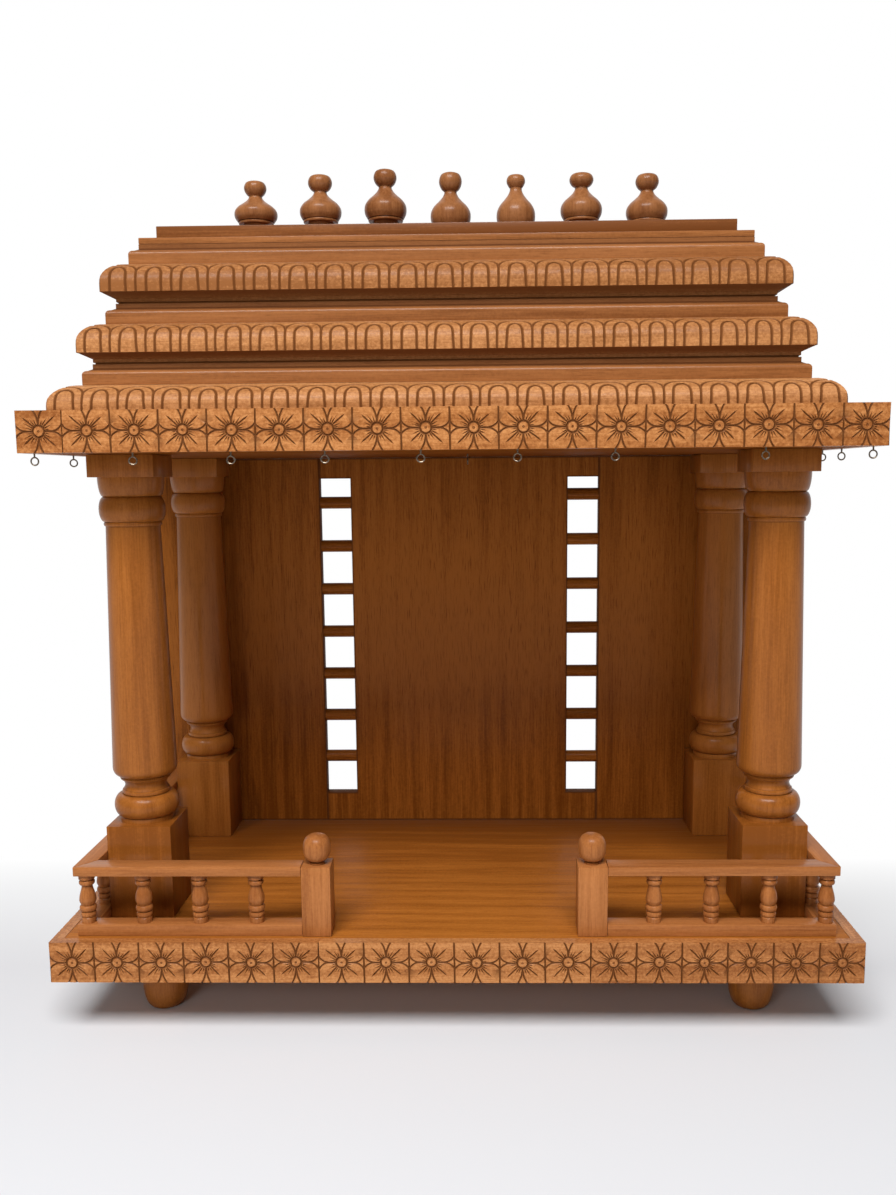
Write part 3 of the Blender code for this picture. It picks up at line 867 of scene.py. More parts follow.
@dataclass(frozen=True)
class Flower:
    """The four-petalled flower cut in each square of a strip, in millimetres.

    A groove is its half width and its depth, a nick its turn from the vein
    and its length. Forks, bends and tips are shares of the square's sides.
    """

    button: float = 6.0
    spread: float = 0.6
    button_groove: Point = (1.55, 1.7)
    dot: float = 0.9
    dot_groove: Point = (0.85, 0.7)
    arm_groove: Point = (1.45, 1.35)
    tip_groove: Point = (1.45 * 0.92, 1.3)
    side_fork: float = 0.205
    side_bend: float = 0.075
    side_tip: float = 0.17
    upright_fork: float = 0.06
    upright_tip: float = 0.105
    vein_groove: Point = (1.15, 1.25)
    vein_across: Point = (0.31, 0.37)
    vein_up: Point = (0.32, 0.38)
    nick_groove: Point = (0.85, 1.05)
    nicks: tuple[Point, ...] = ((-0.25, 8.5), (0.25, 8.5), (-0.50, 5.5), (0.50, 5.5))
    nick_spread: Point = (0.04, 1.8)

    def wander(self, share: float = 1.0) -> float:
        """Return a small chance offset, as a hand makes it."""
        return CHANCE.uniform(-self.spread, self.spread) * share

    def cuts(self, left: float, width: float, height: float) -> list[Cut]:
        """Return the cuts of one square, hand cut and so never quite regular.

        Args:
            left: Where the square starts along the strip.
            width: The square's width.
            height: The strip's height.

        Returns:
            The button, the four forked arms and the four veined petals.
        """
        x = left + width / 2 + self.wander()
        y = height / 2 + self.wander()
        ring = self.button + CHANCE.uniform(-0.3, 0.3)
        made = [
            Cut(arc((x, y), (ring, ring), 0, 360, 18)[:-1], *self.button_groove, closed=True),
            Cut(arc((x, y), (self.dot, self.dot), 0, 360, 6)[:-1], *self.dot_groove, closed=True),
        ]
        for side in (-1, 1):
            edge = left if side < 0 else left + width
            fork = edge - side * width * (self.side_fork + CHANCE.uniform(-0.02, 0.02))
            line = [(x + side * (ring + 1.0), y), ((x + fork) / 2 + side * ring / 2, y + self.wander(0.3)), (fork, y)]
            made.append(Cut(line, *self.arm_groove))
            for up in (-1, 1):
                end = (edge + side * 0.4, y + up * height * self.side_tip + self.wander())
                bend = (edge - side * width * self.side_bend, y + up * 0.4)
                made.append(Cut(bow((fork - side * 1.8, y), bend, end, 7), *self.tip_groove))
        for up in (-1, 1):
            rim = 0.0 if up < 0 else height
            fork = y + up * (ring + height * self.upright_fork)
            made.append(Cut([(x, y + up * (ring + 1.0)), (x, fork)], *self.arm_groove))
            for side in (-1, 1):
                end = (x + side * width * self.upright_tip + self.wander(), rim + up * 0.8)
                bend = (x + side * 0.6, (fork + rim) / 2 + up * 0.5)
                made.append(Cut(bow((x, fork - up), bend, end, 6), *self.tip_groove))
        for side in (-1, 1):
            for up in (-1, 1):
                made += self.petal((x, y), (side * width, up * height), ring)
        return made

    def petal(self, centre: Point, corner: Point, ring: float) -> list[Cut]:
        """Return the vein of one petal and the short nicks beside it.

        Args:
            centre: The middle of the flower.
            corner: The square's width and height, signed towards the petal.
            ring: The radius of the button's groove.

        Returns:
            The cuts, each fine at its outer end.
        """
        heart = Vector(centre)
        aim = math.atan2(corner[1], corner[0])
        reach = (corner[0] * CHANCE.uniform(*self.vein_across), corner[1] * CHANCE.uniform(*self.vein_up))
        end = heart + Vector(reach)
        start = heart + Vector((math.cos(aim), math.sin(aim))) * (ring + 2.2)
        bend = (start + end) / 2 + Vector((self.wander(), self.wander()))
        made = [Cut(bow(tuple(start), tuple(bend), tuple(end), 4), *self.vein_groove, fine_ends=(False, True))]
        turn_spread, length_spread = self.nick_spread
        for turn, length in self.nicks:
            angle = aim + turn + CHANCE.uniform(-turn_spread, turn_spread)
            way = Vector((math.cos(angle), math.sin(angle)))
            near = heart + way * (ring + 2.0)
            far = near + way * (length + CHANCE.uniform(-length_spread, length_spread))
            line = [tuple(near), tuple(near.lerp(far, 0.25)), tuple(far)]
            made.append(Cut(line, *self.nick_groove, fine_ends=(False, True)))
        return made


@dataclass(frozen=True)
class Petals:
    """The row of round-headed petals cut along a moulding, in millimetres.

    Heights are measured along the surface from where the moulding starts to
    round. A groove is its half width and its depth.
    """

    pitch: float = 39.0
    outer_spring: float = 13.5
    outer_head: float = 28.5
    inner_spring: float = 9.5
    inner_head: float = 22.0
    inner_share: float = 0.225
    outer_groove: Point = (1.7, 1.5)
    inner_groove: Point = (1.9, 1.6)
    spread: float = 0.8
    splay: float = 1.2

    def cuts(self, length: float, foot: float, start: float) -> list[Cut]:
        """Return the cuts along a length.

        Args:
            length: The length of the moulding.
            foot: The height where the cuts end at the lower edge.
            start: The height where the moulding starts to round.

        Returns:
            The upright cuts and the arches between them.
        """
        count = max(1, round(length / self.pitch))
        pitch = length / count
        lines = [index * pitch + CHANCE.uniform(-self.spread, self.spread) for index in range(count + 1)]
        lines[0] = 0.0
        lines[-1] = length
        made = []
        for line in lines:
            made.append(Cut([(line, foot - 0.05), (line, start + self.outer_spring)], *self.outer_groove))
        for left, right in zip(lines, lines[1:]):
            made += self.petal(left, right, foot, start)
        return made

    def petal(self, left: float, right: float, foot: float, start: float) -> list[Cut]:
        """Return the outer arch and the inner arch of one petal.

        Args:
            left: The upright cut before it.
            right: The upright cut after it.
            foot: The height where the cuts end at the lower edge.
            start: The height where the moulding starts to round.

        Returns:
            The two cuts.
        """
        centre = (left + right) / 2 + CHANCE.uniform(-self.spread, self.spread) / 2
        half = (right - left) * (self.inner_share + CHANCE.uniform(-0.02, 0.02))
        head = start + self.outer_head + CHANCE.uniform(-self.spread, self.spread)
        spring = start + self.outer_spring
        outer = arc(((left + right) / 2, spring), ((right - left) / 2, head - spring), 180, 0, 14)
        top = start + self.inner_head + CHANCE.uniform(-self.spread, self.spread)
        bend = start + self.inner_spring
        splay = CHANCE.uniform(0.0, self.splay)
        inner = [(centre - half - splay, foot - 0.05)]
        inner += arc((centre, bend), (half, top - bend), 180, 0, 12)
        inner += [(centre + half + splay, foot - 0.05)]
        return [Cut(outer, *self.outer_groove), Cut(inner, *self.inner_groove)]


# Sub-assemblies

@dataclass
class CarvedStrip:
    """A strip of flower squares that faces one way.

    Ends are the widths in millimetres of a first and a last square that
    differ from the rest. A strip whose last square was let in has a second
    length there. Tones lighten or darken each length, and shade is how the
    tone changes along it. The lines between the squares are cut with the
    line groove, and the end groove breaks the strip's ends.
    """

    node: str
    outward: Point
    squares: int
    ends: Point | None = None
    last_let_in: bool = False
    tones: tuple[float | None, ...] = (None, None)
    shade: tuple[Point, ...] = ()
    flower: Flower = Flower()
    line_groove: Point = (1.25, 1.4)
    end_groove: Point = (0.7, 1.4)
    line_sway: float = 0.4
    skin: float = 2.0 * MM
    crease: float = 9.0

    def widths(self, length: float) -> list[list[float]]:
        """Return the widths of the squares on each length of wood.

        Args:
            length: The whole strip's length in millimetres.

        Returns:
            A list of widths for each length of wood.
        """
        if self.ends is None:
            return [[length / self.squares] * self.squares]
        inner = (length - sum(self.ends)) / (self.squares - 2)
        every = [self.ends[0], *[inner] * (self.squares - 2), self.ends[1]]
        return [every[:-1], every[-1:]] if self.last_let_in else [every]

    def build(self) -> list[Shape]:
        """Return each length of the strip as a closed board with a carved face.

        Returns:
            The boards in order, in their own places.
        """
        low, high, middle = extent(self.node)
        normal = Vector((*self.outward, 0.0))
        along = Vector((0, 0, 1)).cross(normal) * -1.0
        face = Vector((middle.x, middle.y, low.z)) + normal * abs((high - low) @ normal) / 2
        length = abs((high - low) @ along) / MM
        height = (high.z - low.z) / MM
        thickness = abs((high - low) @ normal)
        start = face - along * length * MM / 2
        made = []
        for widths in self.widths(length):
            sheet = self.sheet(widths, height)

            def place(s: float, t: float, depth: float) -> Vector:
                """Return the point in metres at a length, a height and a depth in millimetres."""
                return start + along * s * MM + Vector((0, 0, t * MM)) - normal * depth * MM

            def behind(co: Vector, distance: float) -> Vector:
                """Return a point carried to a plane behind the face."""
                return co - normal * ((co - face) @ normal + distance)

            steps = (partial(behind, distance=self.skin), partial(behind, distance=thickness))
            made.append(backed(sheet.laid(place), steps))
            start = start + along * sum(widths) * MM
        return made

    def sheet(self, widths: Sequence[float], height: float) -> Sheet:
        """Mark out one length of the strip.

        Args:
            widths: The widths of its squares.
            height: Its height.

        Returns:
            The flat sheet with every cut on it.
        """
        lines = [sum(widths[:index]) for index in range(len(widths) + 1)]
        cuts = []
        for line in lines:
            sway = CHANCE.uniform(-self.line_sway, self.line_sway)
            groove = self.line_groove if 0 < line < lines[-1] else self.end_groove
            cuts.append(Cut([(line + sway, -1.0), (line - sway, height + 1.0)], *groove))
        for line, width in zip(lines, widths):
            cuts += self.flower.cuts(line, width, height)
        return Sheet(lines[-1], [0.0, height], cuts)


@dataclass
class Base:
    """The deck, its bearers and the carved strips round it."""

    squares_a_length: int = 6
    squares_across: int = 18
    squares_deep: int = 9
    front_tones: tuple[tuple[str, float], ...] = (("left", 0.01), ("middle", 0.05), ("right", -0.05))
    # The deck is painted darker towards the back, as the canopy's shade falls there.
    deck_painted_shade: tuple[Point, ...] = ((0.0, 0.02), (0.15, 0.0), (0.30, -0.10), (0.47, -0.30))

    def build(self, board: Material, carved: Material) -> None:
        """Build every piece of the base.

        Args:
            board: The finish of the deck and the bearers.
            carved: The finish of the strips.
        """
        # Painted shade: the deck darkens towards the back.
        deck = toned(node_plank("deck"), 1, self.deck_painted_shade)
        lone_piece("deck", "board", deck, Grain.ALONG_X, (board, Slot.BOARD), 0.0)
        for node in ("bearer_left", "bearer_right"):
            lone_piece(node, "board", node_plank(node), Grain.ALONG_Y, (board, Slot.BOARD), 0.0)
        strips = [CarvedStrip(f"base_strip_front_{side}", (0, -1), self.squares_a_length, tones=(tone,))
                  for side, tone in self.front_tones]
        strips.append(CarvedStrip("base_strip_back", (0, 1), self.squares_across))
        strips.append(CarvedStrip("base_strip_left", (-1, 0), self.squares_deep))
        strips.append(CarvedStrip("base_strip_right", (1, 0), self.squares_deep))
        finish_strips(strips, carved)


def finish_strips(strips: Iterable[CarvedStrip], carved: Material) -> None:
    """Build carved strips and give each its finish.

    Args:
        strips: The strips.
        carved: Their finish.
    """
    for strip in strips:
        piece = Piece(f"{strip.node}_carved")
        grain = Grain.ALONG_X if strip.outward[0] == 0 else Grain.ALONG_Y
        for part, tone in zip(strip.build(), strip.tones):
            piece.add(toned(part, 0, strip.shade) if strip.shade else part, grain, tone)
        piece.finish(carved, Slot.CARVED, [strip.node], strip.crease)


@dataclass
class Feet:
    """The four turned feet."""

    radius: float = 27.0 * MM
    seat_radius: float = 24.3 * MM
    sole_radius: float = 17.0 * MM
    seat_lip: float = 0.5 * MM
    waist: Point = (25.9 * MM, 50.0 * MM)
    shoulder: float = 29.4 * MM
    belly: float = 31.4 * MM
    steps: int = 48

    def build(self, material: Material) -> None:
        """Build the feet where their solids stand.

        Args:
            material: Their finish.
        """
        for across in ("left", "right"):
            for along in ("front", "back"):
                node = f"foot_{along}_{across}"
                low, high, middle = extent(node)
                outline = [(0.0, high.z), (self.seat_radius, high.z)]
                curve = [(self.seat_radius, high.z - self.seat_lip), self.waist, (self.radius, self.belly)]
                outline += flowing(curve, 5)
                outline += heel(self.shoulder, low.z, self.radius, self.sole_radius, 10)
                outline += [(0.0, low.z)]
                foot = moved(turning(outline, self.steps), (middle.x, middle.y, 0))
                lone_piece(node, "turned", foot, Grain.ALONG_Z, (material, Slot.FOOT))


@dataclass
class Columns:
    """The four columns: a square plinth, a turned shaft and a square abacus."""

    stock: float = 75.5 * MM
    plinth: float = 111.4 * MM
    abacus: float = 25.4 * MM
    crown: float = 37.45 * MM
    fillet_height: float = 6.0 * MM
    fillet_radius: float = 31.2 * MM
    torus_height: float = 26.5 * MM
    torus_root: float = 29.0 * MM
    lower_ring: Point = (27.8 * MM, 5.5 * MM)
    cove: Point = (24.1 * MM, 11.5 * MM)
    cove_lip: float = 26.2 * MM
    upper_ring: Point = (29.5 * MM, 5.8 * MM)
    heel_height: float = 10.0 * MM
    heel_radius: float = 30.0 * MM
    shaft_top: float = 30.8 * MM
    neck_ring: Point = (32.7 * MM, 4.8 * MM)
    ring_rises: Point = (1.5 * MM, 1.2 * MM)
    neck_torus_height: float = 29.0 * MM
    neck_torus_root: float = 31.5 * MM
    bell_height: float = 22.0 * MM
    bell_foot: float = 32.2 * MM
    tenon: float = 4.0 * MM
    # Plinths are painted darker as shade behind the balustrade, and the back columns painted lighter to make up for the
    # light that the canopy keeps from them.
    plinth_painted_shade: float = -0.11
    back_painted_light: float = 0.12
    tone_spread: float = 0.02
    steps: int = 72

    def outline(self, foot: float, head: float) -> list[Point]:
        """Return the outline of the turned part, from the top down.

        Args:
            foot: The height of the deck.
            head: The height of the column's top.

        Returns:
            Radius and height of each point.
        """
        top = head - self.abacus
        bell_foot = top - self.bell_height
        torus_foot = bell_foot - self.neck_torus_height
        ring_foot = torus_foot - self.neck_ring[1]
        fillet_top = foot + self.plinth + self.fillet_height
        torus_top = fillet_top + self.torus_height
        lower_top = torus_top + self.lower_ring[1]
        cove_top = lower_top + self.cove[1]
        upper_top = cove_top + self.upper_ring[1]
        heel_top = upper_top + self.heel_height
        run = [(0.0, top + self.tenon), (self.crown, top + self.tenon)]
        run += heel(top, bell_foot, self.crown, self.bell_foot, 9)
        run += bead(bell_foot, torus_foot, self.neck_torus_root, self.crown, 14)
        run += bead(torus_foot, ring_foot, self.neck_ring[0] - self.ring_rises[1], self.neck_ring[0], 5)
        run += [(self.shaft_top, ring_foot), (self.crown, heel_top)]
        run += heel(heel_top, upper_top, self.crown, self.heel_radius, 6)[1:]
        run += bead(upper_top, cove_top, self.cove_lip, self.upper_ring[0], 6)
        run += flowing([(self.cove_lip, cove_top), (self.cove[0], (cove_top + lower_top) / 2),
                        (self.cove_lip, lower_top)], 4)[1:]
        run += bead(lower_top, torus_top, self.lower_ring[0] - self.ring_rises[0], self.lower_ring[0], 4)
        run += bead(torus_top, fillet_top, self.torus_root, self.crown, 16)
        run += [(self.fillet_radius, fillet_top), (self.fillet_radius, foot + self.plinth - self.tenon)]
        run += [(0.0, foot + self.plinth - self.tenon)]
        return run

    def build(self, material: Material) -> None:
        """Build the columns where their solids stand, each cut from one plank.

        Args:
            material: Their finish.
        """
        half = self.stock / 2
        for across in ("left", "right"):
            for along in ("front", "back"):
                node = f"column_{along}_{across}"
                low, high, middle = extent(node)
                tone = CHANCE.uniform(-self.tone_spread, self.tone_spread)
                # Back columns are painted lighter, as painted light.
                tone += self.back_painted_light if along == "back" else 0.0
                shaft = turning(self.outline(low.z, high.z), self.steps)
                parts = [(moved(shaft, (middle.x, middle.y, 0)), tone)]
                # Plinths are painted darker, as painted shade.
                for bottom, top, shade in (
                    (low.z, low.z + self.plinth, tone + self.plinth_painted_shade),
                    (high.z - self.abacus, high.z, tone),
                ):
                    block = plank((middle.x - half, middle.y - half, bottom), (middle.x + half, middle.y + half, top))
                    parts.append((block, shade))
                piece = Piece(f"{node}_turned")
                state = CHANCE.getstate()
                for part, shade in parts:
                    CHANCE.setstate(state)
                    piece.add(part, Grain.ALONG_Z, shade)
                piece.finish(material, Slot.COLUMN, [node])


@dataclass
class Back:
    """The three back boards and the round bars across the slots."""

    slot_bottom: float = 43.0 * MM
    slot_top: float = 514.5 * MM
    slot_width: float = 45.5 * MM
    gap: float = 0.3 * MM
    closed: float = 0.25 * MM
    bar_radius: float = 8.75 * MM
    bar_tenon: float = 2.7 * MM
    left_ends: Point = (55.5 * MM, 35.0 * MM)
    right_ends: Point = (53.5 * MM, 24.9 * MM)
    bars: int = 7
    easing: float = 0.3 * MM
    side_tone: float = -0.01
    middle_tone: float = 0.03
    # Rims and slot walls are darkened, as painted shade and as dark joint lines.
    rim: float = 2.4 * MM
    rim_shade_and_joint: float = 0.65
    # Tone by height is painted light and shade: a lighter band at mid height where light falls in under the canopy,
    # darker towards the top in the canopy's shade, and darker towards the bottom.
    tones: tuple[Point, ...] = ((0.0, -0.09), (0.12, -0.04), (0.25, 0.16), (0.38, 0.12), (0.62, -0.05))

    def bar(self, start: Vector, length: float) -> Shape:
        """Return one plain round bar.

        Args:
            start: The middle of its left end.
            length: Its length, along X.

        Returns:
            The closed bar.
        """
        half = length / 2
        outline = [(0.0, half), (self.bar_radius, half), (self.bar_radius, -half), (0.0, -half)]
        shape = turning(outline, 36)
        bmesh.ops.rotate(shape, verts=shape.verts, cent=(0, 0, 0), matrix=Matrix.Rotation(math.pi / 2, 3, "Y"))
        return moved(shape, start + Vector((half, 0, 0)))

    def build(self, material: Material) -> None:
        """Build the boards and the bars.

        Args:
            material: Their finish.
        """
        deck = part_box("deck")[1].z
        length = self.slot_width + self.bar_tenon + self.closed
        for side, name, ends in ((-1, "left", self.left_ends), (1, "right", self.right_ends)):
            node = f"back_board_{name}"
            low, high, middle = extent(node)
            inner_low = Vector(low)
            inner_high = Vector(high)
            if side < 0:
                inner_high.x = high.x - self.slot_width + self.closed
                start_x = high.x - self.slot_width - self.bar_tenon
            else:
                inner_low.x = low.x + self.slot_width - self.closed
                start_x = low.x - self.closed
            piece = Piece(f"{node}_with_bars")
            self.add_board(piece, plank(inner_low, inner_high, self.easing), self.side_tone)
            first = deck + self.slot_bottom + ends[0]
            last = deck + self.slot_top - ends[1]
            for index in range(self.bars):
                height = first + (last - first) * index / (self.bars - 1)
                piece.add(self.bar(Vector((start_x, middle.y, height)), length), Grain.ALONG_X)
            piece.finish(material, Slot.BACK, [node])
        self.middle(material, deck)

    def middle(self, material: Material, deck: float) -> None:
        """Build the middle board, which also closes the slots below and above.

        Args:
            material: Its finish.
            deck: The height of the deck.
        """
        node = "back_board_middle"
        low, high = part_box(node)
        inner = high.x - self.slot_width + self.gap
        levels = (low.z, deck + self.slot_bottom, deck + self.slot_top, high.z)
        right = [(high.x, levels[0]), (high.x, levels[1]), (inner, levels[1]),
                 (inner, levels[2]), (high.x, levels[2]), (high.x, levels[3])]
        outline = right + [(-x, z) for x, z in reversed(right)]
        shape = raised(outline, 0.0, high.y - low.y, self.easing)
        bmesh.ops.rotate(shape, verts=shape.verts, cent=(0, 0, 0), matrix=Matrix.Rotation(math.pi / 2, 3, "X"))
        piece = Piece(f"{node}_with_blocks")
        self.add_board(piece, moved(shape, (0, high.y, 0)), self.middle_tone)
        piece.finish(material, Slot.BACK, [node])

    def add_board(self, piece: Piece, shape: Shape, tone: float) -> None:
        """Add a board whose rims are darkened as painted shade and dark joint lines, and whose tone by height is
        painted light and shade.

        Args:
            piece: Takes it in.
            shape: The board.
            tone: How much lighter or darker it is.
        """
        Piece.add_layers(shape)
        carve = shape.verts.layers.float["carve"]
        # Everything but the broad faces takes painted shade and dark joint lines.
        broad = [face for face in shape.faces if abs(face.normal.y) > 0.99]
        bmesh.ops.inset_region(shape, faces=broad, thickness=self.rim, use_even_offset=True)
        clean = {vert for face in broad for vert in face.verts}
        for vert in shape.verts:
            vert[carve] = 0.0 if vert in clean else self.rim_shade_and_joint
        # The tone by height is painted light and shade.
        piece.add(toned(shape, 2, self.tones), Grain.ALONG_Z, tone)


@dataclass
class Balustrade:
    """The low rails with their balusters, and the newels with their balls."""

    rail_height: float = 13.8 * MM
    radius: float = 9.6 * MM
    front_end: float = 53.5 * MM
    front_spacing: float = 64.5 * MM
    side_end: float = 18.7 * MM
    side_spacing: float = 56.0 * MM
    handrail_bottom: float = 71.5 * MM
    mitre_gap: float = 0.6 * MM
    ball_seat: float = 9.0 * MM
    ball_foot: Point = (1.5 * MM, 2.0 * MM)
    newel_tone: float = 0.03
    # Balusters are painted darker, as shade under the handrail.
    tones: Point = (-0.10, -0.05)

    def baluster(self, bottom: float, top: float) -> Shape:
        """Turn one baluster by hand, so that no two are quite alike.

        Args:
            bottom: The height of its foot.
            top: The height of its head.

        Returns:
            The closed turning.
        """
        height = top - bottom
        belly = 0.50 + CHANCE.uniform(-0.04, 0.02)
        waist = 0.63 + CHANCE.uniform(-0.02, 0.03)
        vase = [(waist, 0.755), (waist + 0.05, 0.70), (0.88, belly + 0.10), (0.98, belly), (0.95, 0.43), (0.80, 0.37)]
        outline = [(0.0, 1.02), (0.95, 1.02), (0.95, 0.90), (0.80, 0.885)]
        outline += bead(0.875, 0.77, 0.70, 0.92, 7)
        outline += flowing(vase, 4)
        outline += [(0.72, 0.362)]
        outline += bead(0.357, 0.238, 0.78, 1.00, 8)
        outline += [(0.72, 0.231)]
        outline += bead(0.225, 0.12, 0.76, 0.92, 6)
        outline += [(0.80, 0.112), (0.86, 0.10), (0.86, 0.0), (0.86, -0.02), (0.0, -0.02)]
        return turning([(self.radius * share, bottom + height * rise) for share, rise in outline], 28)

    @staticmethod
    def spread(start: float, end: float, spacing: float) -> list[float]:
        """Return even places from one end of a run to the other."""
        steps = max(1, round(abs(end - start) / spacing))
        return [start + (end - start) * index / steps for index in range(steps + 1)]

    def bottom_rail(self, node: str, deck: float, grain: Grain, places: Iterable[Point], material: Material) -> None:
        """Build a bottom rail with its balusters.

        Args:
            node: The solid that they stand for.
            deck: The height of the deck.
            grain: Which way the rail's fibres run.
            places: Where each baluster stands.
            material: Their finish.
        """
        low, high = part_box(node)
        piece = Piece(f"{node}_turned")
        piece.add(plank(low, (high.x, high.y, deck + self.rail_height)), grain)
        for x, y in places:
            part = self.baluster(deck + self.rail_height, deck + self.handrail_bottom)
            # Each baluster is painted darker, as shade under the handrail.
            piece.add(moved(part, (x, y, 0)), Grain.ALONG_Z, CHANCE.uniform(*self.tones))
        piece.finish(material, Slot.RAIL, [node])

    def build(self, material: Material) -> None:
        """Build both sides of the balustrade.

        Args:
            material: Its finish.
        """
        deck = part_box("deck")[1].z
        for side, name in ((-1, "left"), (1, "right")):
            front = f"balustrade_front_{name}"
            flank = f"balustrade_side_{name}"
            side_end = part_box(flank)[1].y - self.side_end
            x = extent(flank)[2].x
            y = extent(front)[2].y
            newel_low, newel_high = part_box(f"newel_{name}")
            front_end = (newel_low.x if side < 0 else newel_high.x) + side * self.front_end
            places = [(across, y) for across in self.spread(x, front_end, self.front_spacing)]
            self.bottom_rail(front, deck, Grain.ALONG_X, places, material)
            places = [(x, along) for along in self.spread(y, side_end, self.side_spacing)[1:]]
            self.bottom_rail(flank, deck, Grain.ALONG_Y, places, material)
            self.rails(material, side, name)
            self.newel(material, name)

    def rails(self, material: Material, side: int, name: str) -> None:
        """Build the two handrails, mitred at the corner.

        Args:
            material: Their finish.
            side: -1 for the left pair and 1 for the right pair.
            name: The side's name.
        """
        front = f"handrail_front_{name}"
        flank = f"handrail_side_{name}"
        low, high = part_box(front)
        side_low, side_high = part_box(flank)
        outer, newel, inner = (low.x, high.x, side_high.x) if side < 0 else (high.x, low.x, side_low.x)
        start = high.y + self.mitre_gap
        for node, grain, outline in (
            (front, Grain.ALONG_X, [(outer, low.y), (newel, low.y), (newel, high.y), (inner, high.y)]),
            (flank, Grain.ALONG_Y, [(outer, side_low.y), (inner, start), (inner, side_high.y), (outer, side_high.y)]),
        ):
            lone_piece(node, "eased", raised(outline, low.z, high.z), grain, (material, Slot.RAIL))

    def newel(self, material: Material, name: str) -> None:
        """Build a newel and the ball on it.

        Args:
            material: Their finish.
            name: The name of their side.
        """
        node = f"newel_{name}"
        lone_piece(node, "post", node_plank(node), Grain.ALONG_Z, (material, Slot.RAIL), self.newel_tone)
        node = f"newel_ball_{name}"
        low, high, middle = extent(node)
        foot, start = self.ball_foot
        outline = [(0.0, high.z)]
        outline += barrel(high.z, low.z + start, (high.x - low.x) / 2, 24)
        outline += [(self.ball_seat, low.z + foot), (self.ball_seat, low.z), (0.0, low.z)]
        ball = moved(turning(outline, 48), (middle.x, middle.y, 0))
        lone_piece(node, "turned", ball, Grain.ALONG_Z, (material, Slot.RAIL))


@dataclass
class Canopy:
    """The ceiling and the carved strips round it."""

    squares_across: int = 18
    squares_deep: int = 9
    front_ends: Point = (48.0, 49.5)
    front_tones: Point = (0.02, -0.05)
    front_shade: tuple[Point, ...] = ((0.0, 0.0), (0.52, 0.0), (0.87, -0.07))
    ceiling_tone: float = -0.02

    def build(self, ceiling: Material, carved: Material) -> None:
        """Build the canopy box.

        Args:
            ceiling: The finish of the ceiling board.
            carved: The finish of the strips.
        """
        node = "ceiling_board"
        lone_piece(node, "plain", node_plank(node), Grain.ALONG_X, (ceiling, Slot.BOARD), self.ceiling_tone)
        finish_strips((
            CarvedStrip("canopy_strip_front", (0, -1), self.squares_across, self.front_ends, True,
                        self.front_tones, self.front_shade),
            CarvedStrip("canopy_strip_back", (0, 1), self.squares_across),
            CarvedStrip("canopy_strip_left", (-1, 0), self.squares_deep),
            CarvedStrip("canopy_strip_right", (1, 0), self.squares_deep),
        ), carved)


@dataclass
class ScrewEyes:
    """The small screw eyes along the front and side edges of the ceiling."""

    ring: float = 4.1 * MM
    wire: float = 0.85 * MM
    drop: float = 8.6 * MM
    sunk: float = 2.0 * MM
    taper: float = 1.25
    twist: float = 0.3
    front: tuple[float, ...] = (-441.3, -336.3, -231.8, -131.9, -30.5, 71.6, 174.3, 331.6, 443.4)
    front_inset: float = 8.0 * MM
    left_side: tuple[float, ...] = (139.0,)
    right_side: tuple[float, ...] = (126.0, 197.0)
    side_inset: float = 8.0 * MM
    middle: Point = (16.0 * MM, 0.0)

    def eye(self, place: Vector, turn: float) -> Shape:
        """Return one screw eye that hangs from a place.

        Args:
            place: Where it enters the wood.
            turn: How far it is turned about its shank, in radians.

        Returns:
            The closed ring and its shank.
        """
        shape = bmesh.new()
        made = bmesh.ops.create_circle(shape, segments=8, radius=self.wire)
        ring = made["verts"]
        bmesh.ops.translate(shape, verts=ring, vec=(self.ring, 0, 0))
        bmesh.ops.spin(
            shape, geom=ring + shape.edges[:], cent=(0, 0, 0), axis=(0, 1, 0), dvec=(0, 0, 0),
            angle=2 * math.pi, steps=20, use_merge=True, use_duplicate=False,
        )
        bmesh.ops.translate(shape, verts=shape.verts, vec=(0, 0, -self.drop))
        shank = self.drop - self.ring + self.sunk
        before = set(shape.verts)
        bmesh.ops.create_cone(
            shape, cap_ends=True, segments=10, radius1=self.wire, radius2=self.wire * self.taper, depth=shank,
        )
        verts = [vert for vert in shape.verts if vert not in before]
        bmesh.ops.translate(shape, verts=verts, vec=(0, 0, shank / 2 - self.drop + self.ring))
        bmesh.ops.rotate(shape, verts=shape.verts, cent=(0, 0, 0), matrix=Matrix.Rotation(turn, 3, "Z"))
        bmesh.ops.recalc_face_normals(shape, faces=shape.faces)
        return moved(shape, place)

    def build(self, material: Material) -> None:
        """Build every screw eye as one piece.

        Args:
            material: Their finish.
        """
        low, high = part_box("canopy_strip_front")
        front = low.y
        places = [(x * MM, front + self.front_inset) for x in self.front]
        places += [(low.x + self.side_inset, front + y * MM) for y in self.left_side]
        places += [(high.x - self.side_inset, front + y * MM) for y in self.right_side]
        places.append(self.middle)
        piece = Piece("screw_eyes")
        for x, y in places:
            turn = math.pi / 2 if (x, y) == self.middle else CHANCE.uniform(-self.twist, self.twist)
            piece.add(self.eye(Vector((x, y, low.z)), turn), Grain.ALONG_Z)
        piece.finish(material, None, [])


